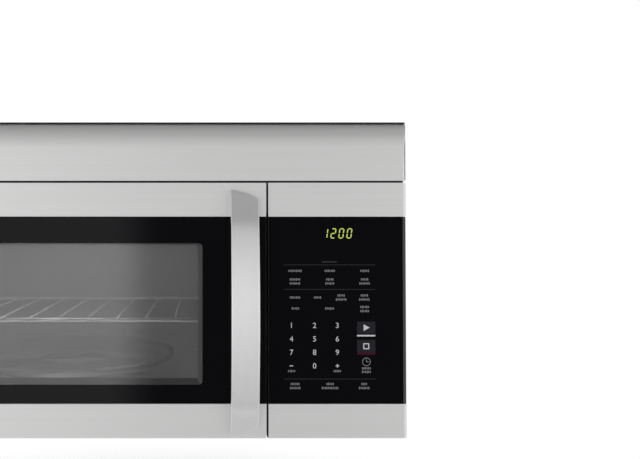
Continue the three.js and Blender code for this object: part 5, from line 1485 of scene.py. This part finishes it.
    def segment(self, shape: Shape, left: float, segment: Segment) -> None:
        """Adds one lit bar with pointed ends, pushed over by the digits' lean.

        Args:
            shape: what it is added to.
            left: its digit's left side.
            segment: which bar it is.
        """
        (u0, v0), (u1, v1) = segment.value
        wide, tall = self.digit
        half, short, tip = self.bar / 2, self.bar * 0.62, self.bar * 0.3
        x, z = left + u0 * wide, self.clock_foot + v0 * tall
        level = v0 == v1
        start, end = (x, left + u1 * wide) if level else (z, self.clock_foot + v1 * tall)
        start, end = start + short, end - short
        corners = [(start - tip, 0), (start, -half), (end, -half), (end + tip, 0), (end, half), (start, half)]
        outline = [(along, z + off) if level else (x - off, along) for along, off in corners]
        leaned = [(x + self.lean * (z - self.clock_foot), z) for x, z in outline]
        self.slab(shape, leaned)


@dataclass
class CavityFittings:
    """What stands in the oven cavity: the wire rack and the glass tray on its ring."""

    rail: float = 2.6
    wire: float = 1.6
    wires: int = 13
    corner: float = 14.0
    centre: Flat = (-96.0, -185.0)
    tray_radius: float = 160.0
    tray_foot: float = 64.8
    rim: float = 14.0
    glass: float = 5.0
    ridge: Flat = (50.0, 56.0)
    ridge_height: float = 0.8
    lip: float = 2.0
    lug: float = 3.0
    lug_drop: float = 4.0
    lug_circle: float = 14.0

    def build(self, bench: Bench) -> None:
        """Makes the rack and the tray."""
        self.rack(bench)
        self.tray(bench)

    def rack(self, bench: Bench) -> None:
        """A closed rail with cross wires welded under it.

        Args:
            bench: where its pieces are made.
        """
        low, high = limits("cooking_rack")
        z, r = (low.z + high.z) / 2, self.rail
        loop = rounded(low.x + r, low.y + r, high.x - r, high.y - r, self.corner - r, 8)
        rack = Shape().tube([Vector((x, y, z)) for x, y in loop], r, 14, closed=True)
        for x in spread(self.wires, low.x + r, high.x - r)[1:-1]:
            rack.tube([Vector((x, low.y + r, z)), Vector((x, high.y - r, z))], self.wire, 10)
        bench.piece("wire_rack", rack, NICKEL, "cabinet", "cooking_rack")

    def tray(self, bench: Bench) -> None:
        """A pressed glass dish with a raised ring and three lugs under its hub.

        Args:
            bench: where its pieces are made.
        """
        z, t, edge = self.tray_foot, self.glass, self.tray_radius
        well = edge - self.rim
        (inner, outer), top = self.ridge, z + t + self.ridge_height
        upper = [(0.5, z + t), (inner - 4, z + t), (inner, top)]
        upper += [(outer, top), (outer + 4, z + t), (well - 8, z + t)]
        upper += quadratic((well - 4, z + t), (well + 1, z + t + 1), (edge - 4, z + self.rim - 1.5), 8)
        lip = arc(edge - self.lip, z + self.rim, self.lip, 135, -45, 8)
        under = quadratic((edge - 0.6, z + self.rim - 3), (well + 5, z + 0.5), (well - 2, z), 8)
        profile = upper + lip + under + [(outer + 4, z), (0.5, z)]
        tray = Shape().turned(profile, *self.centre, 96)
        for u, v in round_about(3, 0.5):
            x, y = self.centre[0] + self.lug_circle * u, self.centre[1] + self.lug_circle * v
            tray.prism(arc(x, y, self.lug, 0, 340, 17), z - self.lug_drop, z + 0.5, Axis.Z)
        bench.piece("turntable_dish", tray, TRAY_GLASS, "turntable", "glass_tray")


@dataclass
class Underside:
    """The grease filters' mesh and the ribbed lamp lens, seen from below."""

    strand: float = 0.45
    pitch: float = 4.6
    frame: float = 9.0
    shortest: float = 0.02  # a strand's least width, as a share of the mesh
    layers: Flat = (0.55, 1.25)
    ribs: int = 22
    rib: float = 1.1
    lens_margin: Flat = (12.0, 11.0)

    def build(self, bench: Bench) -> None:
        """Adds the mesh to both filters and the ribs to the lens.

        Args:
            bench: where its pieces are made.
        """
        for side in ("left", "right"):
            self.weave(bench, side)
        low, high = limits("cooktop_lamp_lens")
        ribs = Shape()
        across, along = self.lens_margin
        for x in spread(self.ribs, low.x + across, high.x - across):
            ribs.prism(arc(x, low.z + 0.25, self.rib, 180, 360, 6), low.y + along, high.y - along, Axis.Y)
        bench.piece("lamp_lens_ribs", ribs, LENS, "cabinet")

    def weave(self, bench: Bench, side: str) -> None:
        """Crossed strands on the filter's lower face, inside its frame.

        Args:
            bench: where its pieces are made.
            side: left or right.
        """
        low, high = limits(f"grease_filter_{side}")
        inset = self.frame
        x0, x1, y0, y1 = low.x + inset, high.x - inset, low.y + inset, high.y - inset
        mesh = Shape()
        for slope, start, rise in ((1, x1, self.layers[0]), (-1, x0, self.layers[1])):
            for k in range(int((x1 - x0 + y1 - y0) / self.pitch) + 1):
                up = k * self.pitch
                crossed = sorted((start - slope * up, start + slope * (y1 - y0 - up)))
                left, right = max(x0, crossed[0]), min(x1, crossed[1])
                if right - left >= self.shortest * (x1 - x0):
                    path = [Vector((x, y0 + up + slope * (x - start), low.z + rise)) for x in (left, right)]
                    mesh.tube(path, self.strand, 4)
        bench.piece(f"filter_mesh_{side}", mesh, ALUMINIUM, f"grease_filter_{side}")


@dataclass
class Screws:
    """Pan-head screws with a cross recess on the top and the underside, and flush heads on the sides."""

    radius: float = 4.2
    rise: float = 2.0
    flush: float = 0.12
    side_height: float = 14.0
    side_rows: tuple[float, ...] = (-40.0, -190.0, -330.0)
    top_columns: tuple[float, ...] = (-330.0, -200.0, 200.0, 330.0)
    top_row: float = -10.0
    base_columns: tuple[float, ...] = (-366.0, -120.0, 120.0, 366.0)
    base_rows: Flat = (-24.0, -345.0)

    def head(self, shape: Shape, at: Vector, out: Vector) -> None:
        """Adds one head: a dome with a sunk cross of four ridges.

        Args:
            shape: what it is added to.
            at: the middle of its seat.
            out: which way it faces.
        """
        across = Vector((1, 0, 0)) if abs(out.x) < 0.5 else Vector((0, 1, 0))
        other = out.cross(across).normalized()
        wide, top = self.radius, self.rise
        profile = [(wide, 0.0), (wide, 0.5), (wide * 0.8, 1.4), (wide * 0.45, top)]
        profile += [(wide * 0.4, top - 0.7), (0.05, top - 0.8)]
        rings = []
        for r, up in profile:
            pinches = [0.45 if r < wide * 0.42 and k % 5 in (2, 3) else 1.0 for k in range(20)]
            turns = zip(round_about(20), pinches)
            rings.append([at + out * up + (across * u + other * v) * r * pinch for (u, v), pinch in turns])
        shape.loft(rings)

    def flush_head(self, shape: Shape, x: float, y: float, z: float) -> None:
        """Adds a countersunk head on a side, round its cross recess.

        Args:
            shape: what it is added to.
            x, y, z: the middle of its face.
        """
        slot, arm = self.radius * 0.16, self.radius * 0.55
        cross = [(-arm, -slot), (-slot, -slot), (-slot, -arm)]
        for _ in range(3):
            cross += [(-v, u) for u, v in cross[-3:]]
        hole = [(y + u, z + v) for u, v in cross]
        shape.prism(arc(y, z, self.radius, 0, 345, 23), x - self.flush, x + self.flush, Axis.X, [hole])

    def build(self, bench: Bench) -> None:
        """Places the screws that hold the case and the base.

        Args:
            bench: where its pieces are made.
        """
        low, high = limits("outer_case")
        case, base = Shape(), Shape()
        for y in self.side_rows:
            for x in (low.x, high.x):
                self.flush_head(case, x, y, low.z + self.side_height)
        for x in self.top_columns:
            self.head(case, Vector((x, self.top_row, high.z)), Vector((0, 0, 1)))
        bottom = limits("base_plate")[0].z
        for x in self.base_columns:
            for y in self.base_rows:
                self.head(base, Vector((x, y, bottom)), Vector((0, 0, -1)))
        bench.piece("base_screws", base, ZINC, "cabinet")
        bench.piece("case_screws", case, ZINC, "cabinet")


@dataclass
class LatchSpring:
    """The coil that the latch hooks push up against the door, in its packed place."""

    turns: int = 5
    wire: float = 0.45
    travel: float = 5.0
    per_turn: int = 20

    def build(self, bench: Bench) -> None:
        """Winds the coil in its packed place.

        Args:
            bench: where its pieces are made.
        """
        low, high = limits("latch_spring")
        cx, cy = (low.x + high.x) / 2, (low.y + high.y) / 2
        radius, rise = (high.x - low.x) / 2 - self.wire, high.z - low.z - 2 * self.wire
        steps = self.turns * self.per_turn
        path = []
        for i in range(steps + 1):
            a = 2 * math.pi * i / self.per_turn
            z = low.z + self.wire + rise * i / steps
            path.append(Vector((cx + radius * math.cos(a), cy + radius * math.sin(a), z)))
        coil = bench.piece("latch_coil", Shape().tube(path, self.wire, 8), SPRING, "door", "latch_spring")
        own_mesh(coil)


@dataclass
class Cabinet:
    """The sheet-metal body and everything fixed in it, which keep the model's own shapes."""

    finishes: tuple[tuple[Finish, str], ...] = (
        (ZINC, "cavity_lamp turntable_motor blower_housing blower_motor blower_shaft"),
        (ZINC, "duct_adaptor chassis_shelf lower_hinge upper_hinge"),
        (ENAMEL, "front_flange cavity_floor cavity_ceiling"),
        (ENAMEL, "cavity_left_wall cavity_right_wall cavity_rear_wall"),
        (MICA, "waveguide_cover"),
        (LENS, "cooktop_lamp_lens"),
        (ALUMINIUM, "grease_filter_left grease_filter_right damper_flap hv_capacitor magnetron"),
        (GREY_PLASTIC, "drive_coupler roller_ring roller_wheel_1 roller_wheel_2 roller_wheel_3"),
        (GREY_PLASTIC, "fan_shroud cooling_fan latch_board"),
        (BLACK_PLASTIC, "blower_wheel_left blower_wheel_right display_module"),
        (BLACK_PLASTIC, "interlock_switch_upper interlock_switch_lower"),
        (CARBON, "charcoal_filter"),
        (WINDINGS, "hv_transformer"),
        (BOARD, "control_board"),
    )
    case_edge: float = 0.4
    plate_edge: float = 0.3

    def build(self, bench: Bench) -> None:
        """Dresses the plates, and then what they hold.

        Args:
            bench: where its pieces are made.
        """
        bench.dress(CASE_PAINT, "outer_case", "base_plate", edge=self.case_edge)
        bench.dress(ZINC, "back_plate", edge=self.plate_edge)
        for finish, names in self.finishes:
            bench.dress(finish, *names.split())


@dataclass
class Front:
    """The steel strips, the vent panel and the plastic behind them."""

    edge: float = 0.35
    plastic_edge: float = 0.3
    strip_edge: float = 0.2
    strip_width: float = 1.5
    strip_depth: Flat = (1.5, 16.0)
    strip_height: Flat = (0.3, 44.0)

    def build(self, bench: Bench) -> None:
        """Dresses the front's nodes.

        Args:
            bench: where its pieces are made.
        """
        bench.dress(STEEL, "vent_panel", "control_top_trim", "control_bottom_trim", edge=self.edge)
        bench.dress(STEEL, "door_top_trim", "door_bottom_trim", edge=self.edge)
        bench.dress(BLACK_PLASTIC, "vent_grille", "door_frame", "choke_cover", edge=self.plastic_edge)
        bench.dress(HOUSING, "control_housing", edge=self.plastic_edge)
        self.seam_strip(bench)
        bench.dress(ENAMEL, "door_choke")
        bench.dress(PANE, "inner_glass")
        bench.dress(GREY_PLASTIC, "latch_hooks", edge=self.plastic_edge)

    def seam_strip(self, bench: Bench) -> None:
        """A black buffer on the control panel's foot, which closes the seam beside the door.

        Args:
            bench: where its pieces are made.
        """
        low, _ = limits("control_bottom_trim")
        (front, back), (foot, head) = self.strip_depth, self.strip_height
        left, right = low.x - self.strip_width, low.x + 0.05
        strip = Shape().box(left, low.y + front, low.z + foot, right, low.y + back, low.z + head)
        bench.piece("seam_strip", strip, BLACK_PLASTIC, "cabinet", edge=self.strip_edge)


# ---------- studio ----------
@dataclass
class Room:
    """The camera, the lamps, the white room and its floor."""

    eye: Triple = (0.115, -1.455, 0.081)
    pitch: float = 1.1
    lens: float = 44.97
    shift: Flat = (0.1767, -0.0412)
    sensor: float = 36.0
    clip: Flat = (0.05, 30.0)
    floor_drop: float = 0.30
    floor_reach: float = 6.0
    daylight: float = 0.55
    polished: float = 1.2  # what polished faces see; the next six change it by direction
    behind_camera: float = 0.69
    dim_ahead: float = 0.83
    dim_above: float = 0.894
    dim_beneath: float = 0.728
    overhead: float = 1.07
    underfoot: float = 0.98
    soft_boxes: tuple[tuple[str, Triple, float, float], ...] = (
        ("key", (-1.7, -2.3, 1.5), 1.5, 40.0),
        ("fill", (2.2, -1.9, 0.9), 1.3, 26.0),
        ("top", (0.2, -0.9, 2.3), 1.6, 30.0),
    )
    aim: Triple = (0.0, -0.2, 0.0)
    bulb: Triple = (-0.096, -0.335, 0.055)
    bulb_power: float = 0.82
    bulb_radius: float = 0.045
    strip: Triple = (-0.096, -0.350, -0.145)
    strip_power: float = 0.31
    strip_size: Flat = (0.39, 0.012)
    strip_turn: float = 165.0

    def build(self) -> None:
        """Sets the camera, the floor, the world and the lamps."""
        self.camera()
        self.floor()
        self.world()
        for name, place, size, power in self.soft_boxes:
            box = self.light(name, "AREA", place, power, size=size)
            box.rotation_euler = (Vector(self.aim) - Vector(place)).to_track_quat("-Z", "Y").to_euler()
        self.light("oven_bulb", "POINT", self.bulb, self.bulb_power, shadow_soft_size=self.bulb_radius)
        strip = dict(zip(("shape", "size", "size_y"), ("RECTANGLE", *self.strip_size)))
        sill = self.light("sill_strip", "AREA", self.strip, self.strip_power, **strip)
        sill.rotation_euler = (math.radians(self.strip_turn), 0, 0)
        sill.visible_camera = sill.visible_transmission = False
        bpy.context.scene.view_settings.view_transform = "Standard"

    def camera(self) -> None:
        """A frontal camera, tipped up a little, so the foot of the face shows slightly wider."""
        data = bpy.data.cameras.new("camera")
        data.lens, data.sensor_width = self.lens, self.sensor
        data.shift_x, data.shift_y = self.shift
        data.clip_start, data.clip_end = self.clip
        camera = linked("camera", data, self.eye)
        camera.rotation_euler = (math.radians(90 + self.pitch), 0, 0)
        bpy.context.scene.camera = camera

    def floor(self) -> None:
        """A wide pale floor below the object."""
        mesh = bpy.data.meshes.new("floor")
        z = -UNDERSIDE * MM - self.floor_drop
        far = self.floor_reach
        corners = [(-far, -far, z), (far, -far, z), (far, far, z), (-far, far, z)]
        mesh.from_pydata(corners, [], [(0, 1, 2, 3)])
        mesh.materials.append(Studio("studio_floor", "").material())
        linked("floor", mesh)

    def world(self) -> None:
        """White all round, but dim straight ahead of the face for what is polished."""
        world = bpy.data.worlds.new("room")
        bpy.context.scene.world = world
        shader = Shader(world, "ShaderNodeOutputWorld")
        x, y, z = shader.split(shader.node("ShaderNodeTexCoord", output="Generated"))
        side = (y * -1.0).rises(0.0, 0.35)
        across = x.rises(-0.12, -0.06) * (1 - x.rises(0.27, 0.33))
        ahead = side * across * z.rises(-0.33, -0.27) * (1 - z.rises(0.06, 0.12))
        above, beneath = z.rises(-0.022, 0.585) * side, (z * -1.0).rises(0.198, 0.527) * side
        overhead, underfoot = z.rises(0.88, 0.96), (z * -1.0).rises(0.9, 0.98)
        seen = (self.polished + self.behind_camera * side) * (1 - self.dim_ahead * ahead)
        seen = seen * (1 - self.dim_above * above) * (1 - self.dim_beneath * beneath)
        seen = seen + self.overhead * overhead + self.underfoot * underfoot
        rays = ("Is Camera Ray", "Is Glossy Ray", "Is Transmission Ray")
        camera, glossy, passed = (shader.node("ShaderNodeLightPath", output=ray) for ray in rays)
        plain = camera.larger(passed)
        level = plain + glossy * seen + (1 - plain.larger(glossy)) * self.daylight
        shader.finish(shader.node("ShaderNodeBackground", values={"Color": WHITE, "Strength": level}))

    def light(
        self, name: str, kind: str, place: Triple, power: float, **settings: object
    ) -> bpy.types.Object:
        """A light that no mirror shows.

        Args:
            name: its name.
            kind: Blender's name for its kind.
            place: where it hangs, in metres.
            power: its power in watts.
            settings: its size and shape.

        Returns:
            The new light.
        """
        data = bpy.data.lights.new(name, kind)
        for key, setting in {"energy": power, **settings}.items():
            setattr(data, key, setting)
        made = linked(name, data, place)
        made.visible_glossy = False
        return made


def main() -> None:
    """Builds the room and every sub-assembly in order."""
    logging.basicConfig(level=logging.INFO, format="%(message)s")
    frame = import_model()
    bench = Bench(frame)
    Room().build()
    kinds = (Cabinet, Front, DoorFront, Handle, Keypad, CavityFittings, Underside, Screws, LatchSpring)
    for kind in kinds:
        log.info("-- %s", kind.__name__)
        kind().build(bench)


if __name__ == "__main__":
    main()
